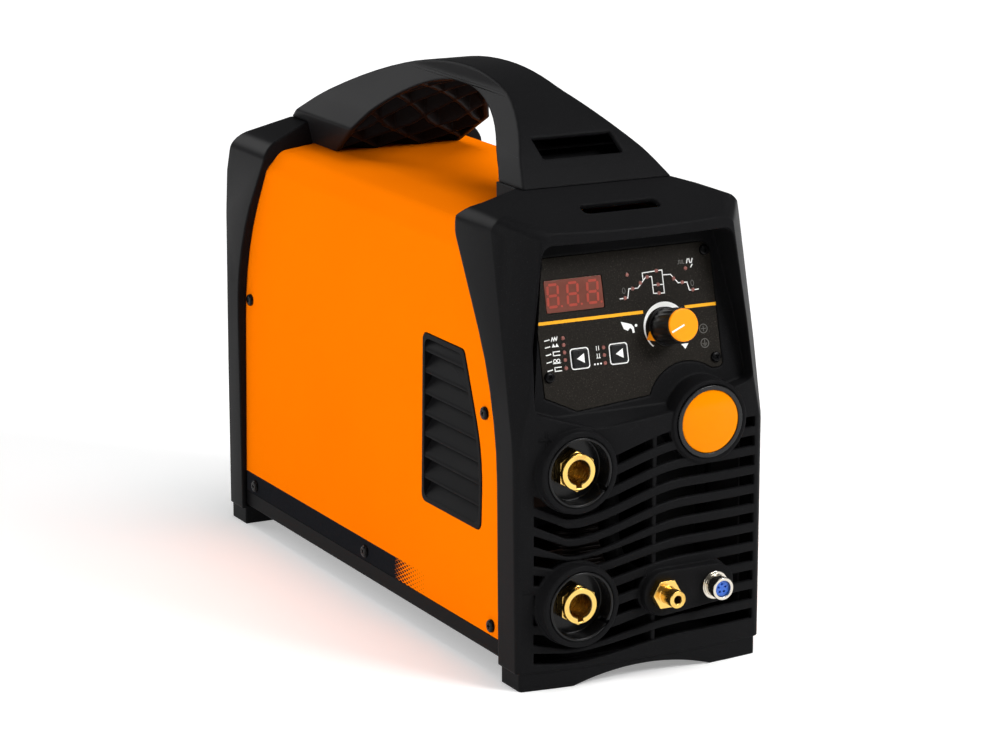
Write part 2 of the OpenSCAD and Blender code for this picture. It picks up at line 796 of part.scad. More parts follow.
// Base tray: floor, flanges flush with the cover and tongues inside the cover
tongue_z = cover_edge_z + 14;
tongue_x = cover_w/2 - sheet_t - slide_gap - 0.1;
flange_z = cover_edge_z - slide_gap;
tray_tip = 6;
function tray_section() = rounded(mirrored([
    [cover_w/2, tray_z, 1.4], [cover_w/2, flange_z], [tongue_x, flange_z], [tongue_x, tongue_z],
    [tongue_x - sheet_t, tongue_z], [tongue_x - sheet_t, flange_z - sheet_t],
    [cover_w/2 - sheet_t, flange_z - sheet_t], [cover_w/2 - sheet_t, floor_z, 0.8]
]));

module base_tray() {
    color(black) placed() difference() {
        union() {
            along_y(front_depth - cover_tuck - 1, case_len - rear_depth + cover_tuck + 1)
                polygon(tray_section());
            translate([-foot_screw_x - 8, tray_tip, tray_z])
                cube([2*foot_screw_x + 16, case_len - 2*tray_tip, sheet_t]);
        }
        for (side = [-1, 1], y = [foot_screw_in, case_len - foot_screw_in])
            translate([side*foot_screw_x, y, 0]) cylinder(r = screw_r + hole_gap, h = 30);
        side_screw_holes(screw_r + hole_gap, 10);
    }
}

// Plate on a cover side's frame, from x0 to x1 along its normal
module side_plate(x0, x1) {
    translate([x0, 0, 0]) rotate([90, 0, 90]) linear_extrude(x1 - x0) children();
}

// Outline of a side vent on its side's frame
vent_front_y = 46.5;
function vent_outline(grow) = rounded([
    [vent_back_y + grow, up_side(vent_low_z) - grow, 4],
    [vent_back_y + grow, up_side(vent_top_z) + grow, 4],
    [vent_front_y + 21 - grow, up_side(vent_top_z) + grow, 4],
    [vent_front_y - 1 - grow, up_side(0.56*vent_low_z + 0.44*vent_top_z), 90],
    [vent_front_y - grow, up_side(vent_low_z) - grow, 5]
]);

// Louvre insert: frame in the window, flange behind the sheet and tilted blades
vent_depth = 8;
vent_rim = 3;
blade_t = 2.4;
module vent_insert() {
    back = -sheet_t - 0.1;
    pitch = (vent_top_z - vent_low_z)/blade_count;
    slope = 1.1*pitch/vent_depth;
    difference() {
        union() {
            side_plate(-vent_depth, 0.5) polygon(vent_outline(-slide_gap));
            side_plate(back - 1.6, back) polygon(vent_outline(4));
        }
        side_plate(-20, 10) polygon(vent_outline(-vent_rim));
    }
    intersection() {
        side_plate(-vent_depth, 0) polygon(vent_outline(-vent_rim/2));
        for (k = [0:blade_count])
            translate([0, 0, up_side(vent_low_z) + (k - 0.9)*pitch]) along_y(0, 2*vent_back_y)
                polygon([for (p = [[1, 0], [1, 1], [-vent_depth - 1, 1], [-vent_depth - 1, 0]])
                    [p.x, p.y*blade_t - p.x*slope]]);
    }
}

module left_vent() {
    color(black) placed() on_side(-1) vent_insert();
}

module right_vent() {
    color(black) placed() on_side(1) vent_insert();
}

// Pan head screw along Z, its head above z = 0
module pan_screw(r, len, head_r, head_h) {
    rotate_extrude() polygon([
        [0, -len], [r - 0.4, -len], [r, 0.4 - len], [r, 0], [head_r, 0], [head_r, 0.45*head_h],
        [0.82*head_r, 0.85*head_h], [0.5*head_r, head_h], [0, head_h]
    ]);
}
head_r = 3.5;
head_h = 2;

module cover_screws() {
    color(black) placed()
        for (side = [-1, 1], p = side_screws)
            on_side(side) translate([0, p.x, up_side(p.y)]) rotate([0, 90, 0])
                pan_screw(screw_r, 8, head_r, head_h);
}

module panel_screws() {
    color(black) placed() on_panel()
        for (p = panel_screw_places)
            translate([p.x, p.y, 0]) pan_screw(panel_screw_r, panel_t + carrier_t + 5, 2.8, 1.7);
}

module foot_screws() {
    color(black) placed()
        for (side = [-1, 1], y = [foot_screw_in, case_len - foot_screw_in])
            translate([side*foot_screw_x, y, hollow_z - foot_plate]) rotate([180, 0, 0])
                pan_screw(screw_r, 8, head_r, head_h);
}

module handle_screws() {
    color(silver) placed()
        for (side = [-1, 1]) {
            translate([side*handle_screw_x, front_seam_y + handle_screw_in, crest_z - bezel_wall])
                rotate([180, 0, 0]) pan_screw(screw_r, 10, head_r, head_h);
            translate([side*handle_rear_x, case_len - handle_rear_in, roof_z - sheet_t])
                rotate([180, 0, 0]) pan_screw(screw_r, 12, head_r, head_h);
        }
}

// Handle: two arcs that meet at its highest point, and an arch below them
arch_peak_y = handle_peak_y;
leg_rear_y = case_len - 118;
seat_gap = 0.15;
function arc_r(span, rise) = (span*span + rise*rise)/(2*rise);
front_arc_r = arc_r(handle_peak_y - front_seam_y, handle_z - crest_z);
rear_arc_r = arc_r(case_len - rear_seam_y - handle_peak_y, handle_z - rear_crest_z);
function top_z(y) = let(r = y < handle_peak_y ? front_arc_r : rear_arc_r)
    handle_z - r + sqrt(r*r - pow(y - handle_peak_y, 2));
function arch_r(y) = y < arch_peak_y ? arc_r(arch_peak_y - leg_front_y, handle_z - grip_t - crest_z)
    : arc_r(leg_rear_y - arch_peak_y, handle_z - grip_t - crest_z);
function arch_top(y) = let(r = arch_r(y)) handle_z - grip_t - r + sqrt(r*r - pow(y - arch_peak_y, 2));

handle_steps = 14;
function along(a, b, n) = [for (k = [0:n]) a + (b - a)*k/n];
function handle_side() = concat(
    [for (y = along(front_seam_y, handle_peak_y, handle_steps)) [y, top_z(y) + seat_gap]],
    [for (k = [1:handle_steps])
        let(y = handle_peak_y + (case_len - rear_seam_y - handle_peak_y)*k/handle_steps)
        [y, top_z(y) + seat_gap]],
    [[case_len - rear_back_y - slide_gap, rear_crest_z + seat_gap],
     [case_len - rear_back_y - slide_gap, roof_z + seat_gap], [leg_rear_y + 30, roof_z + seat_gap]],
    [for (k = [0:handle_steps])
        let(y = leg_rear_y + (arch_peak_y - leg_rear_y)*k/handle_steps) [y, arch_top(y) + seat_gap]],
    [for (k = [1:handle_steps])
        let(y = arch_peak_y + (leg_front_y - arch_peak_y)*k/handle_steps) [y, arch_top(y) + seat_gap]]
);

// Front view of the handle, drawn in by a wall
function handle_front(inset) = rounded(mirrored([
    [crest_w/2 - 5 - inset, roof_z - 5], [crest_w/2 - inset, crest_z],
    [grip_w/2 + 23.5 - inset, crest_z + 0.28*(handle_z - crest_z), 40],
    [grip_w/2 + 2.5 - inset, crest_z + 0.83*(handle_z - crest_z), 10], [grip_w/2 - 1 - inset, handle_z + 5]
]));

// Hollows of the legs in the side view, below the top's wall: the front one is closed towards the arch
hollow_front_y = 92;
hollow_rear_y = 205;
function front_hollow() = concat(
    [for (y = along(front_seam_y + 2*leg_wall, hollow_front_y, 6)) [y, top_z(y) - leg_wall]],
    [for (y = along(hollow_front_y, leg_front_y, 4)) [y, arch_top(y) + 1.5*leg_wall]],
    [[leg_front_y - 1.5*leg_wall, crest_z - 5], [front_seam_y + 2*leg_wall, crest_z - 5]]
);
function rear_hollow() = let(end = case_len - rear_back_y - leg_wall) concat(
    [for (y = along(hollow_rear_y, end, 8)) [y, top_z(y) - leg_wall]],
    [[end, roof_z - 5], [hollow_rear_y, roof_z - 5]]
);

// Crossed ribs inside the rear leg
rib_t = 1.8;
module leg_ribs() {
    for (a = [-1, 1], k = [-2:3])
        translate([0, 250 + 22*k, roof_z]) rotate([0, 0, 38*a]) translate([-60, -rib_t/2, -10])
            cube([120, rib_t, 80]);
}

leg_slot_low_y = front_seam_y + 16;
leg_slot_top_y = front_seam_y + 30.3;
leg_slot_half = 23.5;
module leg_slot() {
    rise = top_z(leg_slot_top_y) - top_z(leg_slot_low_y);
    tilt = atan(rise/(leg_slot_top_y - leg_slot_low_y));
    translate([0, (leg_slot_low_y + leg_slot_top_y)/2, (top_z(leg_slot_low_y) + top_z(leg_slot_top_y))/2])
        rotate([tilt, 0, 0]) translate([-leg_slot_half, -8.4, -9]) cube([2*leg_slot_half, 16.8, 24]);
}

module handle() {
    color(black) placed() difference() {
        intersection() {
            along_x(far) polygon(handle_side());
            along_y(0, case_len) polygon(handle_front(0));
        }
        difference() {
            intersection() {
                along_x(far) polygon(front_hollow());
                along_y(0, case_len) polygon(handle_front(leg_wall));
            }
            for (side = [-1, 1])
                translate([side*handle_screw_x, front_seam_y + handle_screw_in, crest_z - 10])
                    cylinder(r = 4.5, h = 60);
        }
        difference() {
            intersection() {
                along_x(far) polygon(rear_hollow());
                along_y(0, case_len) polygon(handle_front(leg_wall));
            }
            leg_ribs();
            for (side = [-1, 1])
                translate([side*handle_rear_x, case_len - handle_rear_in, roof_z - 10])
                    cylinder(r = 4.5, h = 80);
        }
        leg_slot();
        for (side = [-1, 1]) {
            translate([side*handle_screw_x, front_seam_y + handle_screw_in, crest_z - 10])
                cylinder(r = screw_r + 0.1, h = 17.5);
            translate([side*handle_rear_x, case_len - handle_rear_in, roof_z - 10])
                cylinder(r = screw_r + 0.1, h = 22);
        }
    }
}

// Control panel and what it carries, on the panel's own frame

display_at = [-29.5, 12.9];
key_left_at = [-30.3, -20];
key_right_at = [-7.6, -19.9];
lamp_r = 1;
lamp_places = concat(
    [for (v = [-8.6, -12.1, -16, -19.8, -24]) [-38.8, v]],
    [for (v = [-15.9, -19.8, -23.9]) [-16, v]],
    [[2.4, 19.8], [37.2, 19.8], [-0.3, 8], [4.8, 12.4], [9.6, 14.8], [14, 17.5], [19.8, 20.2],
     [20, 13], [20, 8.6],
     [29.5, 15.2], [34.4, 12.7], [40.2, 8.3]]
);
board_back = panel_t + carrier_t + board_gap;
board_t = 1.6;
bush_r = 4.6;

// Rounded rectangle about the middle
function box_outline(w, h, r) = rounded([[w/2, h/2, r], [-w/2, h/2, r], [-w/2, -h/2, r], [w/2, -h/2, r]], 4);

module plate(at, w, h, r, z0, z1) {
    translate([at.x, at.y, z0]) linear_extrude(z1 - z0) polygon(box_outline(w, h, r));
}
module peg(at, r, z0, z1) {
    translate([at.x, at.y, z0]) cylinder(r = r, h = z1 - z0);
}

module control_panel() {
    color(charcoal) placed() on_panel() difference() {
        translate([0, 0, -panel_t]) linear_extrude(panel_t) polygon(panel_outline(0));
        plate(display_at, display_w, display_h, 1, -9, 9);
        for (at = [key_left_at, key_right_at])
            plate(at, key_w + 2*slide_gap, key_w + 2*slide_gap, 1.2, -9, 9);
        peg([knob_x, knob_v], bush_r + slide_gap, -9, 9);
        for (p = lamp_places)
            peg(p, lamp_r + 0.2, -9, 9);
        for (p = panel_screw_places)
            peg(p, panel_screw_r + hole_gap, -9, 9);
    }
}

module display_lens() {
    color([0.06, 0.02, 0.02]) placed() on_panel()
        plate(display_at, display_w - 2*slide_gap, display_h - 2*slide_gap, 0.8, -panel_t, -0.2);
}

module display_module() {
    color(black) placed() on_panel()
        plate(display_at, display_w - 1, display_h - 1, 0.5, -board_back, -panel_t - 0.1);
}

module control_board() {
    color(board_green) placed() on_panel() difference() {
        plate([0, 0.2], 2*panel_half_w, 65, 2, -board_back - board_t, -board_back);
        for (p = panel_screw_places)
            peg(p, panel_screw_r + hole_gap, -30, 0);
    }
}

module board_spacers() {
    color(nickel) placed() on_panel()
        for (p = panel_screw_places)
            difference() {
                peg(p, 3, -board_back, -panel_t - carrier_t);
                peg(p, panel_screw_r + 0.1, -30, 0);
            }
}

module indicator_lamps() {
    color([0.75, 0.72, 0.68]) placed() on_panel()
        for (p = lamp_places)
            peg(p, lamp_r, -board_back, 0.2);
}

knob_at = [knob_x, knob_v];
bush_top = 4;
shaft_tip = knob_h - 5;

module encoder() {
    color(silver) placed() on_panel() difference() {
        union() {
            plate(knob_at, 13, 13, 1, -board_back, -panel_t - 2);
            peg(knob_at, bush_r, -panel_t - 3, bush_top);
        }
        peg(knob_at, shaft_r + shaft_gap, 0.5 - board_back, 20);
    }
}

module encoder_shaft() {
    color(silver) placed() on_panel() peg(knob_at, shaft_r, 1 - board_back, shaft_tip);
}

flutes = 18;
flute_depth = 0.45;
pointer_r = 10.2;
pointer_z = 0.6;
pointer_t = 1.2;
collar_r = 8;
function flute_outline() = [for (k = [0:flutes*6 - 1])
    (knob_r - flute_depth*(0.5 - 0.5*cos(60*k)))*[cos(60*k/flutes), sin(60*k/flutes)]];

module knob_body() {
    top = knob_h - 1.4;
    color(black) placed() on_panel() difference() {
        union() {
            translate([knob_x, knob_v, pointer_z + pointer_t + 0.1])
                linear_extrude(top - pointer_z - pointer_t - 0.1) polygon(flute_outline());
            peg(knob_at, collar_r, pointer_z, 5);
        }
        peg(knob_at, bush_r + 0.5, 0, bush_top + 0.6);
        peg(knob_at, shaft_r + 0.05, 0, shaft_tip + 0.2);
        peg(knob_at, 3.3, top - 2.6, top + 1);
    }
}

module knob_cap() {
    color(orange) placed() on_panel() translate([knob_x, knob_v, knob_h - 1.4])
        rotate_extrude() polygon([[0, -2.4], [3, -2.4], [3, 0], [8.6, 0], [8.6, 0.9], [8.1, 1.4], [0, 1.4]]);
}

module knob_pointer() {
    color(orange) placed() on_panel() translate([knob_x, knob_v, pointer_z]) difference() {
        union() {
            cylinder(r = pointer_r, h = pointer_t);
            rotate(205) linear_extrude(pointer_t)
                polygon([[pointer_r - 1, 3.4], [pointer_r + 3.4, 0], [pointer_r - 1, -3.4]]);
        }
        translate([0, 0, -1]) cylinder(r = collar_r + 0.05, h = 5);
    }
}

module push_key(at) {
    color(black) placed() on_panel() {
        plate(at, key_w, key_w, 1, -panel_t - 0.5, key_proud);
        plate(at, key_w + 3, key_w + 3, 1, -panel_t - 1.4, -panel_t - 0.1);
        peg(at, 2, -7, -panel_t - 1);
    }
}
module key_left() {
    push_key(key_left_at);
}
module key_right() {
    push_key(key_right_at);
}

module key_switches() {
    color([0.2, 0.2, 0.22]) placed() on_panel()
        for (at = [key_left_at, key_right_at]) {
            plate(at, 6.2, 6.2, 0.5, -board_back, -board_back + 3.5);
            peg(at, 1.75, -board_back + 3, -7 - key_travel - 0.1);
        }
}

// Output sockets: moulded shell with a cup, brass contact with a plug bore and a key slot
cup_r = 16.9;
cup_floor = 3;
stem_r = 8.6;
contact_in = 1.3;
contact_r = 9.5;
contact_len = 34;
stud_r = 5;
stud_len = 15;
plug_depth = 24;
nut_t = 5;

module socket_shell(z, face) {
    color(black) placed() difference() {
        union() {
            rod_y(-socket_x, z, shell_r, face - 0.4, face + cup_depth - 0.1);
            rod_y(-socket_x, z, neck_r, face + cup_depth - 1, face + cup_depth + seat_t + nut_t + 2);
        }
        rod_y(-socket_x, z, cup_r, face - 2, face + cup_depth - cup_floor);
        rod_y(-socket_x, z, stem_r + 0.1, face, face + 60);
        translate([-socket_x, 0, z]) rotate([0, 35, 0])
            translate([cup_r - 1, face - 2, -0.9]) cube([2.2, cup_depth - cup_floor, 1.8]);
    }
}

module socket_contact(z, face) {
    front = face + contact_in;
    color(brass) placed() difference() {
        union() {
            rod_y(-socket_x, z, contact_r, front, face + cup_depth - cup_floor - 0.1);
            translate([-socket_x, face + cup_depth - cup_floor - 0.1, z]) rotate([90, 30, 0])
                cylinder(r = 12, h = cup_depth - cup_floor - 0.1 - contact_in - 2.4, $fn = 6);
            rod_y(-socket_x, z, stem_r, front + 1, front + contact_len);
            rod_y(-socket_x, z, stud_r, front + contact_len - 1, front + contact_len + stud_len);
        }
        rod_y(-socket_x, z, plug_bore_r, front - 2, front + plug_depth);
        translate([-socket_x - 1.5, front - 2, z - plug_bore_r - 1.8]) cube([3, plug_depth, 4]);
    }
}

module positive_socket_shell() {
    socket_shell(positive_z, positive_face);
}
module positive_socket_contact() {
    socket_contact(positive_z, positive_face);
}
module negative_socket_shell() {
    socket_shell(negative_z, negative_face);
}
module negative_socket_contact() {
    socket_contact(negative_z, negative_face);
}

// Hexagon nut along Y
module nut_y(x, z, flat_r, bore_r, y0, t) {
    difference() {
        translate([x, y0 + t, z]) rotate([90, 0, 0]) cylinder(r = flat_r, h = t, $fn = 6);
        rod_y(x, z, bore_r, y0 - 1, y0 + t + 1);
    }
}

bar_t = 3;
function bar_y(face) = face + contact_in + contact_len;
module socket_nuts() {
    color(nickel) placed()
        for (s = [[positive_z, positive_face], [negative_z, negative_face]]) {
            nut_y(-socket_x, s.x, 19, neck_r + 0.1, s.y + cup_depth + seat_t + 0.1, nut_t);
            nut_y(-socket_x, s.x, 9.2, stud_r + 0.1, bar_y(s.y) + bar_t + 0.2, nut_t);
        }
}

// Gas outlet: hexagon, stub and hose tail in one turned piece
gas_bore_r = 2.2;
tail_r = 3.6;
function gas_tail_end() = pad_face + 14 + tail_len;
module gas_outlet() {
    color(brass) placed() difference() {
        union() {
            translate([gas_x, pad_face, fitting_z]) rotate([90, 0, 0])
                cylinder(r = hex_r, h = hex_t, $fn = 6);
            rod_y(gas_x, fitting_z, stub_r, front_tip, pad_face - 1);
            rod_y(gas_x, fitting_z, gas_thread_r, pad_face - 1, pad_face + 14);
            rod_y(gas_x, fitting_z, tail_r, pad_face + 13, gas_tail_end());
        }
        rod_y(gas_x, fitting_z, gas_bore_r, front_tip - 1, gas_tail_end() + 1);
    }
}

// Torch connector: nickel shell with a flange, insulating insert with five pin holes
torch_reach = 10;
insert_r = 4.3;
pin_ring_r = 2.2;
module torch_connector_shell() {
    color(nickel) placed() difference() {
        union() {
            rod_y(torch_x, fitting_z, 7.5, pad_face - 2, pad_face);
            rod_y(torch_x, fitting_z, 6, pad_face - torch_reach, pad_face - 1);
            rod_y(torch_x, fitting_z, torch_thread_r, pad_face - 1, pad_face + 14);
        }
        rod_y(torch_x, fitting_z, insert_r + 0.1, pad_face - 20, pad_face + 20);
    }
}
module torch_connector_insert() {
    color([0.05, 0.30, 0.62]) placed() difference() {
        rod_y(torch_x, fitting_z, insert_r, pad_face - torch_reach + 1.5, pad_face + 15);
        for (k = [0:4])
            rod_y(torch_x + pin_ring_r*cos(90 + 72*k), fitting_z + pin_ring_r*sin(90 + 72*k), 0.6,
                pad_face - 20, pad_face - torch_reach + 8);
    }
}

// Badge: black ring round a plain orange dome
dome_r = 16.7;
dome_rise = 1.8;
module badge_ring() {
    color(black) placed() difference() {
        rod_y(badge_x, badge_z, badge_r, badge_face - 0.8, badge_face + badge_seat);
        rod_y(badge_x, badge_z, dome_r + 0.1, badge_face - 9, badge_face + 9);
    }
}
module badge_dome() {
    r = arc_r(dome_r, dome_rise);
    color(orange) placed() intersection() {
        rod_y(badge_x, badge_z, dome_r, badge_face - 9, badge_face + badge_seat);
        translate([badge_x, badge_face - 0.2 - dome_rise + r, badge_z]) rotate([90, 0, 0])
            sphere(r = r, $fn = 96);
    }
}

// Fan behind the rear grille
fan_end = fan_front + fan_t;
rotor_r = fan_bore_r - 1.2;
rotor_hub_r = 20;
fan_shaft_r = 2;
blade_number = 7;
blade_tilt = 38;

module fan_frame() {
    color(black) placed() at_rear() difference() {
        union() {
            difference() {
                along_y(fan_front, fan_end) translate([0, fan_z]) polygon(box_outline(fan_w, fan_w, 5));
                rod_y(0, fan_z, fan_bore_r, 0, fan_end + 1);
            }
            rod_y(0, fan_z, rotor_hub_r + 1, fan_end - 4, fan_end);
            for (a = [45, 135])
                translate([0, fan_end - 2, fan_z]) rotate([0, a, 0])
                    cube([2*fan_bore_r + 4, 4, 6], center = true);
        }
        rod_y(0, fan_z, fan_shaft_r + 0.05, 0, fan_end + 1);
        for (p = fan_places)
            rod_y(p.x*fan_hole, fan_z + p.y*fan_hole, screw_r + hole_gap, 0, fan_end + 1);
    }
}

module fan_rotor() {
    deep = fan_t - 6;
    color([0.16, 0.16, 0.17]) placed() at_rear() {
        rod_y(0, fan_z, rotor_hub_r, fan_front + 1, fan_front + 1 + deep);
        rod_y(0, fan_z, fan_shaft_r, fan_front + deep, fan_end - 0.4);
        intersection() {
            rod_y(0, fan_z, rotor_r, fan_front + 1.5, fan_front + 0.5 + deep);
            for (k = [0:blade_number - 1])
                translate([0, fan_front + 1 + deep/2, fan_z]) rotate([0, 360*k/blade_number, 0])
                    rotate([0, 0, blade_tilt]) translate([-1, -20, rotor_hub_r - 2]) cube([2, 40, far/4]);
        }
    }
}

// Seats of the rear fittings in the rear wall
rear_seat = 0.8;
module fan_screws() {
    color(black) placed() at_rear()
        for (p = fan_places)
            translate([p.x*fan_hole, rear_seat, fan_z + p.y*fan_hole]) rotate([90, 0, 0])
                pan_screw(screw_r, 20, head_r, head_h);
}

// Power switch: body with a flange and a pocket, rocker on a pivot
pivot_y = 5;
pivot_r = 1.8;
rocker_w = 16.4;
rocker_half = 11.8;
switch_wall = 2.5;
module switch_body() {
    color(black) placed() at_rear() difference() {
        union() {
            along_y(rear_seat - 2, rear_seat) translate([-switch_x, rear_row_z])
                polygon(box_outline(switch_w + 4, switch_h + 4, 2));
            along_y(rear_seat - 1, 24) translate([-switch_x, rear_row_z])
                polygon(box_outline(switch_w, switch_h, 1.5));
        }
        along_y(-9, 14) translate([-switch_x, rear_row_z])
            polygon(box_outline(rocker_w + 0.6, switch_h - 3.4, 0.5));
        translate([-switch_x, pivot_y, rear_row_z]) rotate([0, 90, 0])
            cylinder(r = pivot_r + 0.05, h = switch_w - 2, center = true);
    }
}

// The rocker is drawn at its off setting
module switch_rocker() {
    color([0.15, 0.15, 0.16]) placed() at_rear() translate([-switch_x, pivot_y, rear_row_z])
        rotate([switch_throw/2, 0, 0]) {
            along_x(rocker_w) polygon(rounded([
                [-8.5, rocker_half, 0.8], [-6.4, 0, 20], [-8.5, -rocker_half, 0.8],
                [-3, -rocker_half + 0.4, 1],
                [5, -5, 2], [5, 5, 2], [-3, rocker_half - 0.4, 1]
            ]));
            rotate([0, 90, 0]) cylinder(r = pivot_r, h = switch_w - 2.4, center = true);
        }
}

// Cable gland: hexagon, dome cap with a bore, and a lock nut inside
gland_bore_r = 5;
module cable_gland() {
    color(black) placed() at_rear() {
        difference() {
            union() {
                translate([gland_x, rear_seat, rear_row_z]) rotate([90, 0, 0])
                    cylinder(r = 12, h = 5, $fn = 6);
                translate([gland_x, rear_seat - 4.5, rear_row_z]) rotate([90, 0, 0])
                    rotate_extrude() polygon([
                        [0, 0], [10.4, 0], [10.4, gland_reach - 9], [8.6, gland_reach - 4.6],
                        [7, gland_reach + rear_seat - 4.5], [0, gland_reach + rear_seat - 4.5]
                    ]);
                rod_y(gland_x, rear_row_z, gland_thread_r, rear_seat - 1, 14);
            }
            rod_y(gland_x, rear_row_z, gland_bore_r, -60, 60);
        }
        nut_y(gland_x, rear_row_z, 12, gland_thread_r + 0.1, rear_flat + 0.1, 4);
    }
}

// Gas inlet: hexagon, ridged hose tail and a thread into the valve
inlet_ridge = 4.6;
module gas_inlet() {
    color(brass) placed() at_rear() difference() {
        union() {
            translate([gas_x, rear_seat, rear_row_z]) rotate([90, 0, 0]) cylinder(r = hex_r, h = 5, $fn = 6);
            translate([gas_x, rear_seat - 4.5, rear_row_z]) rotate([90, 0, 0])
                rotate_extrude() polygon(concat(
                    [[0, 0], [4, 0]],
                    [for (k = [0:3])
                        each [[3.8, 4 + 3.8*k], [inlet_ridge, 4.6 + 3.8*k], [inlet_ridge, 5 + 3.8*k]]],
                    [[3.6, inlet_reach + rear_seat - 4.5], [0, inlet_reach + rear_seat - 4.5]]
                ));
            rod_y(gas_x, rear_row_z, inlet_thread_r, rear_seat - 1, 13);
        }
        rod_y(gas_x, rear_row_z, gas_bore_r, -60, 60);
    }
}

// Gas valve on the inlet's thread: block, coil and outlet tail
valve_end = 34;
module gas_valve() {
    color(silver) placed() at_rear() difference() {
        union() {
            translate([gas_x - 11, rear_flat + 0.3, rear_row_z - 12])
                cube([22, valve_end - rear_flat - 0.3, 24]);
            translate([gas_x, (rear_flat + valve_end)/2, rear_row_z + 11]) cylinder(r = 9.5, h = 22);
            rod_y(gas_x, rear_row_z, tail_r, valve_end - 1, valve_end + 14);
        }
        rod_y(gas_x, rear_row_z, inlet_thread_r + 0.1, 0, 14);
        rod_y(gas_x, rear_row_z, gas_bore_r, 0, valve_end + 20);
    }
}

// Gas hose from the valve down to the gas outlet
hose_r = 5.4;
hose_bore_r = 3.9;
hose_bend = 20;
module hose_ring() {
    difference() {
        circle(r = hose_r);
        circle(r = hose_bore_r);
    }
}
module gas_hose() {
    low_y = pad_face + 15;
    back_y = gas_tail_end() + 8;
    drop_y = back_y + hose_bend;
    color([0.12, 0.12, 0.13]) placed() translate([gas_x, 0, 0]) {
        translate([0, back_y, fitting_z]) rotate([90, 0, 0]) linear_extrude(back_y - low_y) hose_ring();
        translate([0, back_y, fitting_z + hose_bend]) rotate([90, 0, 90]) rotate(-90)
            rotate_extrude(angle = 90) translate([hose_bend, 0]) hose_ring();
        translate([0, drop_y, fitting_z + hose_bend])
            linear_extrude(rear_row_z - fitting_z - 2*hose_bend) hose_ring();
        translate([0, drop_y + hose_bend, rear_row_z - hose_bend]) rotate([90, 0, 90]) rotate(90)
            rotate_extrude(angle = 90) translate([hose_bend, 0]) hose_ring();
        translate([0, case_len - valve_end - 0.5, rear_row_z]) rotate([90, 0, 0])
            linear_extrude(case_len - valve_end - 0.5 - drop_y - hose_bend) hose_ring();
    }
}

// Power stage: two finned heatsinks on the tray, modules and a board above them
sink_in = 3;
sink_out = 60;
sink_front = 150;
sink_len = case_len - fan_end - sink_front - 32;
sink_top = 66;
sink_plate = 8;
fin_count = 9;
fin_t = 2.2;
module heatsink() {
    w = sink_out - sink_in;
    translate([sink_in, sink_front, sink_top - sink_plate]) cube([w, sink_len, sink_plate]);
    for (k = [0:fin_count - 1])
        translate([sink_in + (w - fin_t)*k/(fin_count - 1), sink_front, floor_z])
            cube([fin_t, sink_len, sink_top - floor_z - 1]);
}
module heatsink_left() {
    color(silver) placed() mirror([1, 0, 0]) heatsink();
}
module heatsink_right() {
    color(silver) placed() heatsink();
}

module_x = 31;
module power_modules() {
    color([0.14, 0.14, 0.15]) placed()
        for (side = [-1, 1], k = [0.28, 0.72])
            translate([side*module_x - 14, sink_front + k*sink_len - 22, sink_top]) cube([28, 44, 12]);
}

board_x = 58;
board_z = sink_top + 18.7;
spacer_x = 53;
function spacer_places() = [
    for (x = [-spacer_x, spacer_x], y = [sink_front + 10, sink_front + sink_len - 10]) [x, y]
];
module power_spacers() {
    color(nickel) placed()
        for (p = spacer_places())
            translate([p.x, p.y, sink_top]) cylinder(r = 3.5, h = board_z - sink_top);
}
module power_board() {
    color(board_green) placed()
        translate([-board_x, sink_front + 2, board_z]) cube([2*board_x, sink_len - 4, board_t]);
}
module capacitors() {
    color([0.10, 0.14, 0.24]) placed()
        for (x = [-18, 18], y = [-18, 18])
            translate([x, sink_front + sink_len/2 + y, board_z + board_t]) cylinder(r = 15, h = 45);
}

// Transformer on the tray: core with a middle leg, winding round it
core_y = 96;
core_half_w = 28;
core_half_d = 20;
core_h = 62;
leg_half = 8;
window_w = 12;
window_z0 = 12;
window_z1 = 50;
wind_gap = 0.4;
module transformer_core() {
    color([0.20, 0.20, 0.21]) placed() translate([0, core_y, floor_z]) difference() {
        translate([-core_half_w, -core_half_d, 0]) cube([2*core_half_w, 2*core_half_d, core_h]);
        for (side = [0, 1])
            mirror([side, 0, 0]) translate([leg_half, -core_half_d - 1, window_z0])
                cube([window_w, 2*core_half_d + 2, window_z1 - window_z0]);
    }
}
module transformer_winding() {
    out_x = leg_half + window_w - wind_gap;
    out_y = core_half_d + window_w;
    in_x = leg_half + wind_gap;
    in_y = core_half_d + wind_gap;
    color(copper) placed() translate([0, core_y, floor_z + window_z0 + wind_gap])
        linear_extrude(window_z1 - window_z0 - 2*wind_gap) difference() {
            polygon(box_outline(2*out_x, 2*out_y, 8));
            polygon(box_outline(2*in_x, 2*in_y, 1));
        }
}

module output_choke() {
    color(copper) placed() translate([45.5, core_y, floor_z]) rotate_extrude()
        polygon(rounded([[8, 0, 3], [16.5, 0, 3], [16.5, 24, 3], [8, 24, 3]]));
}

module ignition_unit() {
    color([0.16, 0.18, 0.22]) placed() translate([34, 54, floor_z]) cube([24, 24, 142]);
}

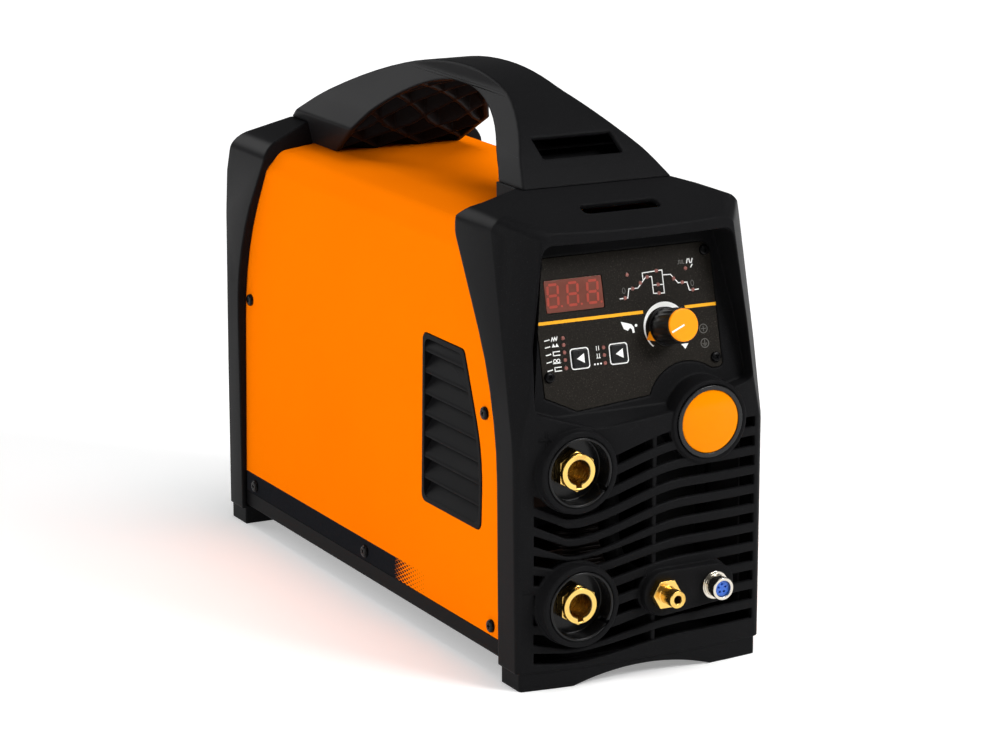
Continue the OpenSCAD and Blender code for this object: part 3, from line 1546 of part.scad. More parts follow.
// Bus bars from the sockets' studs to the power stage
bar_half = 8;
module bus_bar(z, face, level, end_y, low, high) {
    y = bar_y(face) + 0.1;
    color(copper) placed() difference() {
        union() {
            translate([-socket_x - bar_half, y, low]) cube([2*bar_half, bar_t, high - low]);
            translate([-socket_x - bar_half, y, level]) cube([2*bar_half, end_y - y, bar_t]);
            children();
        }
        rod_y(-socket_x, z, stud_r + 0.1, -60, 80);
    }
}
module positive_bus_bar() {
    level = board_z + board_t + 0.1;
    bus_bar(positive_z, positive_face, level, sink_front + 16, level, positive_z + 9);
}
module negative_bus_bar() {
    level = sink_top - sink_plate + 2;
    end = sink_front - 0.2;
    bus_bar(negative_z, negative_face, level, end, negative_z - 9, level + bar_t)
        translate([-socket_x - bar_half, end - bar_t, level - 4]) cube([2*bar_half, bar_t, 10]);
}

front_bezel();
rear_bezel();
cover();
base_tray();
handle();
left_vent();
right_vent();
cover_screws();
panel_screws();
foot_screws();
handle_screws();
control_panel();
display_lens();
display_module();
control_board();
board_spacers();
indicator_lamps();
encoder();
encoder_shaft();
knob_body();
knob_cap();
knob_pointer();
key_left();
key_right();
key_switches();
positive_socket_shell();
positive_socket_contact();
negative_socket_shell();
negative_socket_contact();
socket_nuts();
gas_outlet();
torch_connector_shell();
torch_connector_insert();
badge_ring();
badge_dome();
fan_frame();
fan_rotor();
fan_screws();
switch_body();
switch_rocker();
cable_gland();
gas_inlet();
gas_valve();
gas_hose();
heatsink_left();
heatsink_right();
power_modules();
power_board();
power_spacers();
capacitors();
transformer_core();
transformer_winding();
output_choke();
ignition_unit();
positive_bus_bar();
negative_bus_bar();
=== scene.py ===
"""Looks of a compact TIG welding power source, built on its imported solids.

Places and sizes are given in millimetres as on the maker's drawing: x from the middle, y back from
the front corners, z up from the level line of the case, a little above the floor under the feet.
The panel's own drawing uses x and v, v running up the leaning panel.
"""
import json
import math

import bmesh
import bpy
from mathutils import Matrix, Vector

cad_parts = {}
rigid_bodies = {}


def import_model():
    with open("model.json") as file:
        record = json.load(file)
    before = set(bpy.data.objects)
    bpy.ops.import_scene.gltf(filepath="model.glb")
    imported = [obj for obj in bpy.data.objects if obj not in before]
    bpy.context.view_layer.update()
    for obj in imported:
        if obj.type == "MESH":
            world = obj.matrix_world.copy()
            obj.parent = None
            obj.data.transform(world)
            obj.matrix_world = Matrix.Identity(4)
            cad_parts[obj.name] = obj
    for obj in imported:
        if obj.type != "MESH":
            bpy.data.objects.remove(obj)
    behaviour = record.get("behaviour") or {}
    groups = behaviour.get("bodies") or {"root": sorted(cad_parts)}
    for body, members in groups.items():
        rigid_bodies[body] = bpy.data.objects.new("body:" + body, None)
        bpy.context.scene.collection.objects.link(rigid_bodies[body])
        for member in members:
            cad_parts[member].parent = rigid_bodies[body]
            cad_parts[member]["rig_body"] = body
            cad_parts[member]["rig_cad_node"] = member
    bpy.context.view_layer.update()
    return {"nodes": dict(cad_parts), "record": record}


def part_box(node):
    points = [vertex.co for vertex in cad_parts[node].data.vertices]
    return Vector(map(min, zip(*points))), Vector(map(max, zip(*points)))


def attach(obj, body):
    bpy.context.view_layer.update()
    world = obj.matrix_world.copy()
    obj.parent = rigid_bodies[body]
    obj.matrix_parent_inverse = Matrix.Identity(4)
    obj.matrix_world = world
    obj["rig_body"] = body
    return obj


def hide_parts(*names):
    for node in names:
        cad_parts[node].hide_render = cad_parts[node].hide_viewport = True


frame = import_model()
nodes = frame["nodes"]
body_of_node = {
    node: body
    for body, members in frame["record"]["behaviour"]["bodies"].items()
    for node in members
}

MM = 0.001
PER_METRE = 1000
MID_Y = 184.8  # where the shared frame's y is zero
LEVEL = 2.6  # height of the level line above the floor
PANEL_Y, PANEL_Z, PANEL_TILT = 15.9, 187.0, 14.0  # middle of the panel, and its lean in degrees
KNOB = (21.5, -9.0)  # on the panel, as are the keys
KEYS = {"key_left": (-30.3, -20), "key_right": (-7.6, -19.9)}


def machine(x, y, z):
    """A place on the drawing, in the shared frame."""
    return Vector((x, y - MID_Y, z + LEVEL)) * MM


def facing(place, outward):
    """Frame with its z axis along outward, at a place on the drawing."""
    w = Vector(outward).normalized()
    u = Vector((0, 0, 1)).cross(w)
    u = u.normalized() if u.length > 0.01 else Vector((1, 0, 0))
    turned = Matrix((u, w.cross(u), w)).transposed().to_4x4()
    return Matrix.Translation(machine(*place)) @ turned


def on_panel(x=0.0, v=0.0, proud=0.0):
    """Frame on the panel's face: x to the right, y up the panel, z out of it."""
    leaning = Matrix.Rotation(math.radians(90 - PANEL_TILT), 4, "X")
    base = Matrix.Translation(machine(0, PANEL_Y, PANEL_Z)) @ leaning
    return base @ Matrix.Translation(Vector((x, v, proud)) * MM)


# Hand tools

def only(piece):
    """Leaves one piece selected and active."""
    bpy.ops.object.select_all(action="DESELECT")
    piece.select_set(True)
    bpy.context.view_layer.objects.active = piece


def start(kind, name, **size):
    """A primitive as the start of a new piece."""
    bpy.ops.object.select_all(action="DESELECT")
    getattr(bpy.ops.mesh, f"primitive_{kind}_add")(**size)
    piece = bpy.context.object
    piece.name = name
    return piece


def shape(piece):
    """Goes into edit mode on a piece, for faces, with nothing selected."""
    only(piece)
    bpy.ops.object.mode_set(mode="EDIT")
    bpy.ops.mesh.select_mode(type="FACE")
    bpy.ops.mesh.select_all(action="DESELECT")


def done():
    """Leaves edit mode."""
    bpy.ops.object.mode_set(mode="OBJECT")


def choose(piece, kind, test):
    """Selects, in edit mode, the faces, edges or points that pass a test."""
    bpy.ops.mesh.select_mode(type=kind)
    bpy.ops.mesh.select_all(action="DESELECT")
    mesh = bmesh.from_edit_mesh(piece.data)
    for item in {"VERT": mesh.verts, "EDGE": mesh.edges, "FACE": mesh.faces}[kind]:
        if test(item):
            item.select_set(True)
    mesh.select_flush_mode()
    bmesh.update_edit_mesh(piece.data)


def worked(piece, kind, **settings):
    """Adds a modifier with its settings and applies it."""
    only(piece)
    bpy.ops.object.modifier_add(type=kind)
    modifier = piece.modifiers[-1]
    for key, value in settings.items():
        setattr(modifier, key, value)
    bpy.ops.object.modifier_apply(modifier=modifier.name)


def settled(piece, place=None):
    """Puts a piece's place in its mesh."""
    if place is not None:
        piece.matrix_world = place @ piece.matrix_basis
    only(piece)
    bpy.ops.object.transform_apply(location=True, rotation=True, scale=True)


def copied(piece, name, place):
    """A copy with a mesh of its own, set at a place."""
    only(piece)
    bpy.ops.object.duplicate(linked=False)
    copy = bpy.context.object
    copy.name = name
    settled(copy, place)
    return copy


def joined(pieces, name):
    """Several pieces made into one."""
    only(pieces[0])
    for piece in pieces[1:]:
        piece.select_set(True)
    bpy.ops.object.join()
    piece = bpy.context.object
    piece.name = name
    return piece


def softened(piece, angle):
    """Shades faces smooth across edges up to an angle."""
    only(piece)
    bpy.ops.object.shade_smooth_by_angle(angle=math.radians(angle))


def hung(piece, body, slot, finish, *stands_for):
    """Gives a piece its finish and the body it moves with."""
    piece.data.materials.clear()
    piece.data.materials.append(finish)
    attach(piece, body)
    if stands_for:
        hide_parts(*stands_for)


def drawn_back(piece, solid, reach):
    """Sets the points that a wide edge threw off the solid back on its surface."""
    for point in piece.data.vertices:
        found, near, _, _ = solid.closest_point_on_mesh(point.co)
        if found and (near - point.co).length > reach * MM:
            point.co = near


BROW_CORNER = (62, 13, 238.4)  # where brow and facet would meet
BROW_OUT, FACET_OUT = (0, -0.31, 0.95), (0.79, -0.585, 0.14)
BROW_RADIUS, BROW_CUTS = 11, 7


def rounded_brow(piece):
    """Rounds the upper corners of the front bezel, between brow and facets, by flat cuts."""
    radius = BROW_RADIUS * MM
    corner_x, corner_y, corner_z = BROW_CORNER
    shape(piece)
    for side in (-1, 1):
        brow = Vector(BROW_OUT).normalized()
        facet = Vector((side * FACET_OUT[0], *FACET_OUT[1:])).normalized()
        corner = machine(side * corner_x, corner_y, corner_z)
        middle = corner - (brow + facet) * radius / (1 + brow.dot(facet))
        for step in range(1, BROW_CUTS):
            out = brow.slerp(facet, step / BROW_CUTS)
            bpy.ops.mesh.select_all(action="SELECT")
            bpy.ops.mesh.bisect(plane_co=middle + out * radius, plane_no=out,
                                use_fill=True, clear_outer=True)
    done()


def leaned_corners(piece):
    """Leans the upper corners of the rear bezel a little in and down."""
    lean_in, in_from, in_rise = 3.3, 150, 94
    lean_down, down_from, down_rise = 6, 200, 44
    flat_half, side_width = 45, 28
    for point in piece.data.vertices:
        aside = min(1, max(0, abs(point.co.x) / MM - flat_half) / side_width)
        up = point.co.z / MM - LEVEL
        inward = lean_in * aside * (max(0, up - in_from) / in_rise) ** 2
        point.co.x -= math.copysign(inward * MM, point.co.x)
        point.co.z -= lean_down * aside ** 2 * max(0, up - down_from) / down_rise * MM


RESHAPED = {"front_bezel": rounded_brow, "rear_bezel": leaned_corners}

SAME_POINT = 2e-6  # metres between points that are one
FLAT = 0.3  # degrees up to which faces are one flat
SHARP = 34  # degrees from which an edge is broken
EDGE_FLATS = 2  # flats across a broken edge
SMOOTH = 47  # degrees up to which faces run on smoothly
LARGE_FACES = 60  # pull of large faces on the shading
STRAY = 0.6  # share of an edge's width that its points may leave the solid by


def broken_edges(node, finish, slot, width):
    """A copy of a solid with sharp edges broken and round faces smooth, in the solid's place."""
    solid = nodes[node]
    only(solid)
    bpy.ops.object.duplicate(linked=False)
    piece = bpy.context.object
    piece.name = f"{node}_finished"
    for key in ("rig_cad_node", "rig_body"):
        if key in piece:
            del piece[key]
    shape(piece)
    bpy.ops.mesh.customdata_custom_splitnormals_clear()
    bpy.ops.mesh.select_all(action="SELECT")
    bpy.ops.mesh.remove_doubles(threshold=SAME_POINT)
    bpy.ops.mesh.dissolve_limited(angle_limit=math.radians(FLAT))
    done()
    if node in RESHAPED:
        RESHAPED[node](piece)
        solid = copied(piece, f"{node}_before", Matrix())
    worked(piece, "BEVEL", width=width * MM, segments=EDGE_FLATS, limit_method="ANGLE",
           angle_limit=math.radians(SHARP), use_clamp_overlap=False, miter_outer="MITER_ARC")
    drawn_back(piece, solid, STRAY * width)
    if node in RESHAPED:
        bpy.data.objects.remove(solid)
    softened(piece, SMOOTH)
    worked(piece, "WEIGHTED_NORMAL", keep_sharp=True, weight=LARGE_FACES)
    hung(piece, body_of_node[node], slot, finish, node)


# Finishes

class Wire:
    """An output in a finish's node tree. Sums on it add Math nodes."""

    def __init__(self, finish, socket):
        self.finish = finish
        self.socket = socket

    def sum(self, operation, *values, clamp=False):
        settings = dict(operation=operation, use_clamp=clamp)
        return self.finish.add("ShaderNodeMath", settings, *values)

    def __add__(self, other):
        return self.sum("ADD", self, other)

    __radd__ = __add__

    def __mul__(self, other):
        return self.sum("MULTIPLY", self, other)

    __rmul__ = __mul__

    def __sub__(self, other):
        return self.sum("SUBTRACT", self, other)

    def __rsub__(self, other):
        return self.sum("SUBTRACT", other, self)

    def __truediv__(self, other):
        return self.sum("DIVIDE", self, other)

    def __gt__(self, other):
        return self.sum("GREATER_THAN", self, other)

    def __lt__(self, other):
        return self.sum("LESS_THAN", self, other)

    def __abs__(self):
        return self.sum("ABSOLUTE", self)

    def most(self, other):
        return self.sum("MAXIMUM", self, other)

    def held(self):
        """The value, kept between 0 and 1."""
        return self.sum("ADD", self, 0.0, clamp=True)

    def about(self, base, swing, middle=0.5):
        """A base value that swings up and down with this one."""
        return base + swing * (self - middle)

    def to_middle(self):
        """How far a value lies from the nearest whole number."""
        return abs(self.sum("FRACT", self + 0.5) - 0.5)

    def ramp(self, low, high, at_low=0.0, at_high=1.0):
        """Eased rise from one value to another."""
        return self.finish.add("ShaderNodeMapRange", dict(interpolation_type="SMOOTHSTEP"),
                               self, low, high, at_low, at_high)


class Finish:
    """A material with one shader.

    Constants go to the shader's own sockets, what varies comes in by wires.
    """

    def __init__(self, name, **constants):
        self.material = bpy.data.materials.new(name)
        self.material.use_nodes = True
        self.nodes = self.material.node_tree.nodes
        self.links = self.material.node_tree.links
        self.nodes.clear()
        self.shader = self.nodes.new("ShaderNodeBsdfPrincipled")
        output = self.nodes.new("ShaderNodeOutputMaterial")
        self.links.new(self.shader.outputs["BSDF"], output.inputs["Surface"])
        for key, value in constants.items():
            self.feed(self.shader.inputs[key.replace("_", " ")], value)
        self.place = self.add("ShaderNodeTexCoord", {}, out="Object")

    def feed(self, socket, value):
        """Links a wire to a socket, or sets the socket to a value."""
        if isinstance(value, Wire):
            self.links.new(value.socket, socket)
        elif isinstance(value, tuple) and len(value) == 3 and socket.type == "RGBA":
            socket.default_value = (*value, 1.0)
        else:
            socket.default_value = value

    def add(self, kind, settings, *values, out=0, **named):
        """Any node: its type, its settings, then the values or wires of its sockets."""
        node = self.nodes.new(kind)
        for key, value in settings.items():
            setattr(node, key, value)
        for socket, value in zip(node.inputs, values):
            self.feed(socket, value)
        for key, value in named.items():
            self.feed(node.inputs[key.replace("_", " ")], value)
        return Wire(self, node.outputs[out])

    def along(self, axis):
        """The place along one axis of the shared frame, in millimetres."""
        return self.add("ShaderNodeSeparateXYZ", {}, self.place, out=axis) * PER_METRE

    def noise(self, size, detail=2.0, rough=0.5):
        """Cloudy noise with features of about this size."""
        return self.add("ShaderNodeTexNoise", {}, Vector=self.place, Scale=1 / (size * MM),
                        Detail=detail, Roughness=rough)

    def streaks(self, marks):
        """Brushed or turned marks, so many to the metre along each axis."""
        drawn_out = self.add("ShaderNodeVectorMath", dict(operation="MULTIPLY"), self.place, marks)
        return self.add("ShaderNodeTexNoise", {}, Vector=drawn_out, Scale=1.0,
                        Detail=3.0, Roughness=0.6)

    def cells(self, size):
        """Distance from the middles of scattered cells."""
        return self.add("ShaderNodeTexVoronoi", dict(feature="F1"), Vector=self.place,
                        Scale=1 / (size * MM))

    def mixed(self, mask, first, second):
        """Two colours mixed by a mask, over the colour sockets of a Mix node."""
        node = self.nodes.new("ShaderNodeMix")
        node.data_type = "RGBA"
        for number, value in {0: mask, 6: first, 7: second}.items():
            self.feed(node.inputs[number], value)
        return Wire(self, node.outputs[2])

    def bumped(self, height, strength, distance, **base):
        """Fine relief, on the plain surface or on the base given."""
        return self.add("ShaderNodeBump", {}, Height=height, Strength=strength,
                        Distance=distance * MM, **base)

    def shade(self, **wires):
        """Wires the shader and hands over the material."""
        for key, value in wires.items():
            self.feed(self.shader.inputs[key.replace("_", " ")], value)
        return self.material


def srgb(*screen):
    """Colour as seen on a screen, 0 to 255, for the shader."""
    return tuple(c / 255 / 12.92 if c < 10.5 else ((c / 255 + 0.055) / 1.055) ** 2.4
                 for c in screen)


def scaled(colour, factor):
    """A colour made darker or lighter."""
    return tuple(c * factor for c in colour)


def plastic(name, colour, gloss, grain, depth, sheen, spread=0.25, painted_sparkle=0.0, edge=0.0):
    """Moulded plastic: grain of a size and depth, uneven gloss, painted glints (lighter specks in
    the colour), soft edges of a radius.
    """
    f = Finish(name, Specular_IOR_Level=sheen)
    fine = f.noise(grain, detail=3.0, rough=0.6)
    broad = f.noise(38, detail=3.0)
    tone = f.mixed((0.65 * fine + 0.35 * broad).held(),
                   scaled(colour, 1 - spread), scaled(colour, 1 + spread))
    if painted_sparkle:
        # painted highlight: lighter specks in the colour stand in for the sparkle of the grain
        painted_glint = f.noise(0.55, detail=1.0).ramp(0.66, 0.74)
        tone = f.mixed(painted_glint * painted_sparkle, tone, tuple(c * 6 + 0.03 for c in colour))
    soft = dict(Normal=f.add("ShaderNodeBevel", dict(samples=6), edge * MM)) if edge else {}
    return f.shade(Base_Color=tone, Roughness=broad.about(fine.about(gloss, 0.16), 0.08),
                   Normal=f.bumped(fine, 0.35, depth, **soft))


def metal(name, colour, gloss, streak, tint, marks, tarnish_and_shade=None):
    """Machined or plated metal: fine tool marks, a slight change of tone and dulled patches."""
    f = Finish(name, Metallic=1.0)
    lines = f.streaks(marks)
    patch = f.noise(9, detail=4.0, rough=0.6)
    tone = f.mixed(patch, scaled(colour, 1 - tint), scaled(colour, 1 + tint))
    if tarnish_and_shade:
        tone = f.mixed(patch.ramp(0.52, 0.75) * 0.45, tone, tarnish_and_shade)
    return f.shade(Base_Color=tone,
                   Roughness=patch.about(lines.about(gloss, 0.14), 0.16, middle=0.45),
                   Normal=f.bumped(lines, streak, 0.02))


def orange_coat():
    """Baked orange coat on the sheet, with the dark printed band along its lower edge.

    The band fades out forwards in two sets of ever smaller dots. The front end of the roof, where
    the bezel clamps the sheet, takes the same dark ink: painted shade of the gap under the bezel.
    """
    f = Finish("orange_coat", Specular_IOR_Level=0.0)
    peel = f.noise(1.5)
    broad = f.noise(85)
    back = f.along("Y") + MID_Y
    up = f.along("Z") - LEVEL
    dots_from, full_from, band_top = 113, 160, 30.7
    clamped_shade_end, clamped_shade_foot = 44, 224
    column = (back - 156) / 5.0
    row = (up - 18.6) / 2.42
    dot = back.ramp(111, full_from, at_low=0.06, at_high=0.56)
    first = (column.to_middle() + row.to_middle()) < dot
    second = ((column + 0.5).to_middle() + (row + 0.5).to_middle()) < dot
    dots = first.most(second) * (back > dots_from)
    band = dots.most(back > full_from) * (up < band_top)
    # painted shade: the roof's front end under the bezel is coloured in the dark ink
    dark = band.most((back < clamped_shade_end) * (up > clamped_shade_foot))
    coat = f.mixed(broad, (0.95, 0.186, 0.0004), (0.99, 0.204, 0.0006))
    print_ink_and_shade = f.mixed(peel, srgb(22, 23, 26), srgb(32, 33, 36))
    return f.shade(Base_Color=f.mixed(dark, coat, print_ink_and_shade),
                   Roughness=broad.about(peel.about(0.44, 0.10), 0.06),
                   Normal=f.bumped(peel, 0.10, 0.05))


def panel_film():
    """Printed film of the panel: dark brown grey with a fine metallic fleck."""
    f = Finish("panel_film", Specular_IOR_Level=0.06)
    fleck = f.noise(0.5, detail=1.0).ramp(0.60, 0.72)
    grain = f.noise(0.9, rough=0.7)
    tone = f.mixed(grain, srgb(23, 21, 18), srgb(35, 32, 28))
    tone = f.mixed(fleck * 0.3, tone, srgb(88, 82, 74))
    return f.shade(Base_Color=tone, Roughness=grain.about(0.42, 0.2),
                   Normal=f.bumped(grain, 0.2, 0.03))


def ink(name, colour):
    """Screen printed ink, a little uneven."""
    f = Finish(name, Specular_IOR_Level=0.3)
    body = f.noise(0.6)
    return f.shade(Base_Color=f.mixed(body, scaled(colour, 0.88), colour),
                   Roughness=body.about(0.4, 0.15), Normal=f.bumped(body, 0.1, 0.02))


def tinted_window():
    """Red tinted window of the display."""
    f = Finish("tinted_window", Specular_IOR_Level=0.5, Coat_Weight=0.3)
    cloud = f.noise(7, detail=3.0)
    tone = f.mixed(cloud, srgb(106, 56, 45), srgb(124, 66, 52))
    return f.shade(Base_Color=tone, Roughness=0.18 + 0.1 * cloud,
                   Normal=f.bumped(f.noise(2.0), 0.05, 0.02))


def unlit_segments():
    """Segments of the digits, seen through the window with their light off."""
    f = Finish("unlit_segments", Specular_IOR_Level=0.3)
    cloud = f.noise(2.5)
    tone = f.mixed(cloud, srgb(152, 52, 36), srgb(176, 62, 42))
    return f.shade(Base_Color=tone, Roughness=0.35 + 0.1 * cloud)


def lamp_lens():
    """Dull red lens of an indicator lamp."""
    f = Finish("lamp_lens", Specular_IOR_Level=0.5, Coat_Weight=0.25)
    cloud = f.noise(0.8)
    tone = f.mixed(cloud, srgb(112, 66, 58), srgb(156, 96, 86))
    return f.shade(Base_Color=tone, Roughness=0.25 + 0.15 * cloud)


def circuit_board():
    """Solder mask with tracks and pads."""
    f = Finish("circuit_board", Specular_IOR_Level=0.5)
    across_width = f.noise(14, detail=0.0).ramp(0.45, 0.55, at_high=0.2)
    along_width = f.noise(11, detail=0.0).ramp(0.5, 0.56, at_high=0.18)
    across = (f.along("X") / 3.1).to_middle() < across_width
    along = (f.along("Y") / 3.7).to_middle() < along_width
    tracks = across.most(along)
    pads = f.cells(4.6) < 0.16
    mask = f.mixed(f.noise(20, detail=3.0), srgb(16, 66, 36), srgb(24, 84, 46))
    tone = f.mixed(tracks, mask, srgb(36, 112, 60))
    tone = f.mixed(pads, tone, srgb(176, 172, 160))
    return f.shade(Base_Color=tone, Metallic=pads * 0.9, Roughness=0.34 + 0.1 * f.noise(3),
                   Normal=f.bumped(tracks, 0.2, 0.03))


def wound_wire(name, pitch):
    """Enamelled wire in turns, as rounded rows, near black: painted shade, darker between turns.
    """
    f = Finish(name, Metallic=0.2, Specular_IOR_Level=0.06)
    turn = (f.along("Z") / pitch).to_middle()
    crown_and_painted_shade = 1 - 4 * turn * turn
    # painted shade: near black overall for the inside of the case, darker between the turns than
    # on their crowns
    tone = f.mixed(crown_and_painted_shade, srgb(10, 8, 7), srgb(22, 15, 12))
    return f.shade(Base_Color=tone, Roughness=0.3 + 0.12 * f.noise(2.0),
                   Normal=f.bumped(crown_and_painted_shade, 0.9, 0.5))


def pointer_ring():
    """Ring under the knob: black, with an orange pointer that stands out of its rim."""
    f = Finish("pointer_ring", Specular_IOR_Level=0.2)
    rim = 10.3
    lean = math.radians(PANEL_TILT)
    up = f.along("Z") - LEVEL - PANEL_Z
    back = f.along("Y") + MID_Y - PANEL_Y
    across = f.along("X") - KNOB[0]
    along = up * math.cos(lean) + back * math.sin(lean) - KNOB[1]
    beyond = (across * across + along * along) > rim ** 2
    tone = f.mixed(beyond, srgb(16, 15, 15), srgb(255, 149, 0))
    return f.shade(Base_Color=tone, Roughness=f.noise(0.6).about(0.36, 0.1))


def studio_floor():
    """Pale studio floor with a painted glow of its own, brighter far from the part."""
    f = Finish("studio_floor", Specular_IOR_Level=0.1, Emission_Strength=1.0)
    distance = f.add("ShaderNodeVectorMath", dict(operation="LENGTH"), f.place, out="Value")
    cloud = f.noise(420, detail=3.0)
    tone = f.mixed(cloud, (0.87, 0.87, 0.87), (0.90, 0.90, 0.90))
    # painted light: the floor glows by emission, weaker near the part
    painted_glow = f.mixed(distance.ramp(0.7, 2.6, at_low=0.3, at_high=0.85), (0, 0, 0), (1, 1, 1))
    return f.shade(Base_Color=tone, Roughness=0.7 + 0.1 * cloud, Emission_Color=painted_glow)


TURNED = (30, 2400, 30)
ORANGE_COAT = orange_coat()
# its specks are painted highlights, lighter dots in the colour for the sparkle of the grain
BLACK_MOULDING = plastic("grained_black", srgb(21, 21, 22), gloss=0.34, grain=0.8, depth=0.04,
                         sheen=0.022, spread=0.3, painted_sparkle=0.12, edge=2.0)
BLACK_SMOOTH = plastic("smooth_black", srgb(13, 13, 14), gloss=0.22, grain=0.7, depth=0.015,
                       sheen=0.2, edge=1.0)
BLACK_LOUVRE = plastic("louvre_black", srgb(20, 20, 21), gloss=0.42, grain=0.7, depth=0.03,
                       sheen=0.022)
BLACK_PAINT = plastic("tray_black", srgb(20, 20, 21), gloss=0.44, grain=1.2, depth=0.04,
                      sheen=0.022, spread=0.2)
# dark colour for the inside and edges of the sheet: painted shade
PAINTED_INSIDE_SHADE = plastic("painted_inside_shade", srgb(34, 33, 33), gloss=0.6, grain=1.0, depth=0.03, sheen=0.2)
PANEL_FILM = panel_film()
WHITE_INK = ink("white_ink", srgb(250, 250, 247))
GREY_INK = ink("grey_ink", srgb(92, 90, 86))
YELLOW_INK = ink("yellow_ink", srgb(255, 178, 0))
WINDOW = tinted_window()
SEGMENTS = unlit_segments()
LAMPS = lamp_lens()
BLACK_SCREW = plastic("black_screw", srgb(12, 12, 13), gloss=0.24, grain=0.6, depth=0.01,
                      sheen=0.1)
ZINC = metal("zinc", srgb(176, 178, 182), gloss=0.34, streak=0.1, tint=0.1, marks=(700, 700, 700))
BRASS = metal("turned_brass", srgb(232, 192, 106), gloss=0.24, streak=0.12, tint=0.1,
              marks=TURNED, tarnish_and_shade=srgb(176, 132, 62))
BORE_BRASS = metal("dull_brass", srgb(186, 160, 102), gloss=0.26, streak=0.16, tint=0.2,
                   marks=TURNED, tarnish_and_shade=srgb(110, 90, 50))
NICKEL = metal("plated_nickel", srgb(208, 202, 190), gloss=0.16, streak=0.10, tint=0.08,
               marks=TURNED)
BLUE_INSERT = plastic("blue_insert", srgb(46, 98, 196), gloss=0.36, grain=0.6, depth=0.02,
                      sheen=0.45, spread=0.12)
ORANGE_CAP = plastic("orange_plastic", srgb(255, 149, 0), gloss=0.36, grain=0.6, depth=0.012,
                     sheen=0.2, spread=0.05)
BADGE_FACE = plastic("badge_orange", srgb(238, 133, 0), gloss=0.14, grain=6.0, depth=0.01,
                     sheen=0.05, spread=0.05)
BADGE_RING = plastic("badge_black", srgb(16, 16, 17), gloss=0.26, grain=0.6, depth=0.02,
                     sheen=0.3)
KEY_BLACK = plastic("key_black", srgb(17, 17, 17), gloss=0.30, grain=0.8, depth=0.02, sheen=0.3)
KNOB_BLACK = plastic("knob_black", srgb(16, 15, 15), gloss=0.32, grain=1.6, depth=0.01, sheen=0.3,
                     spread=0.15)
POINTER = pointer_ring()
BOARD = circuit_board()
SINK = metal("sink_aluminium", srgb(186, 189, 194), gloss=0.32, streak=0.2, tint=0.08,
             marks=(1500, 12, 1500))
VALVE = metal("valve_metal", srgb(178, 180, 182), gloss=0.3, streak=0.12, tint=0.08,
              marks=(60, 1200, 60))
MODULE = plastic("module_plastic", srgb(11, 11, 12), gloss=0.5, grain=0.8, depth=0.03, sheen=0.06)
SLEEVE = plastic("capacitor_sleeve", srgb(26, 36, 66), gloss=0.24, grain=1.4, depth=0.02,
                 sheen=0.5)
FERRITE = plastic("ferrite", srgb(24, 24, 26), gloss=0.62, grain=0.5, depth=0.06, sheen=0.1)
# painted shade: the copper bars are near black, with darker patches, for the shade inside the case
COPPER_BAR_PAINTED_SHADE = metal("copper_bar", srgb(24, 17, 14), gloss=0.36, streak=0.14, tint=0.1,
                   marks=(1400, 30, 1400), tarnish_and_shade=srgb(16, 12, 10))
# the windings are near black: painted shade inside the case
WINDING = wound_wire("copper_winding", pitch=2.4)
CHOKE = wound_wire("choke_winding", pitch=3.0)
HOSE = plastic("hose_rubber", srgb(13, 13, 14), gloss=0.6, grain=0.5, depth=0.04, sheen=0.06)
FAN = plastic("fan_plastic", srgb(30, 30, 32), gloss=0.42, grain=0.8, depth=0.03, sheen=0.35)

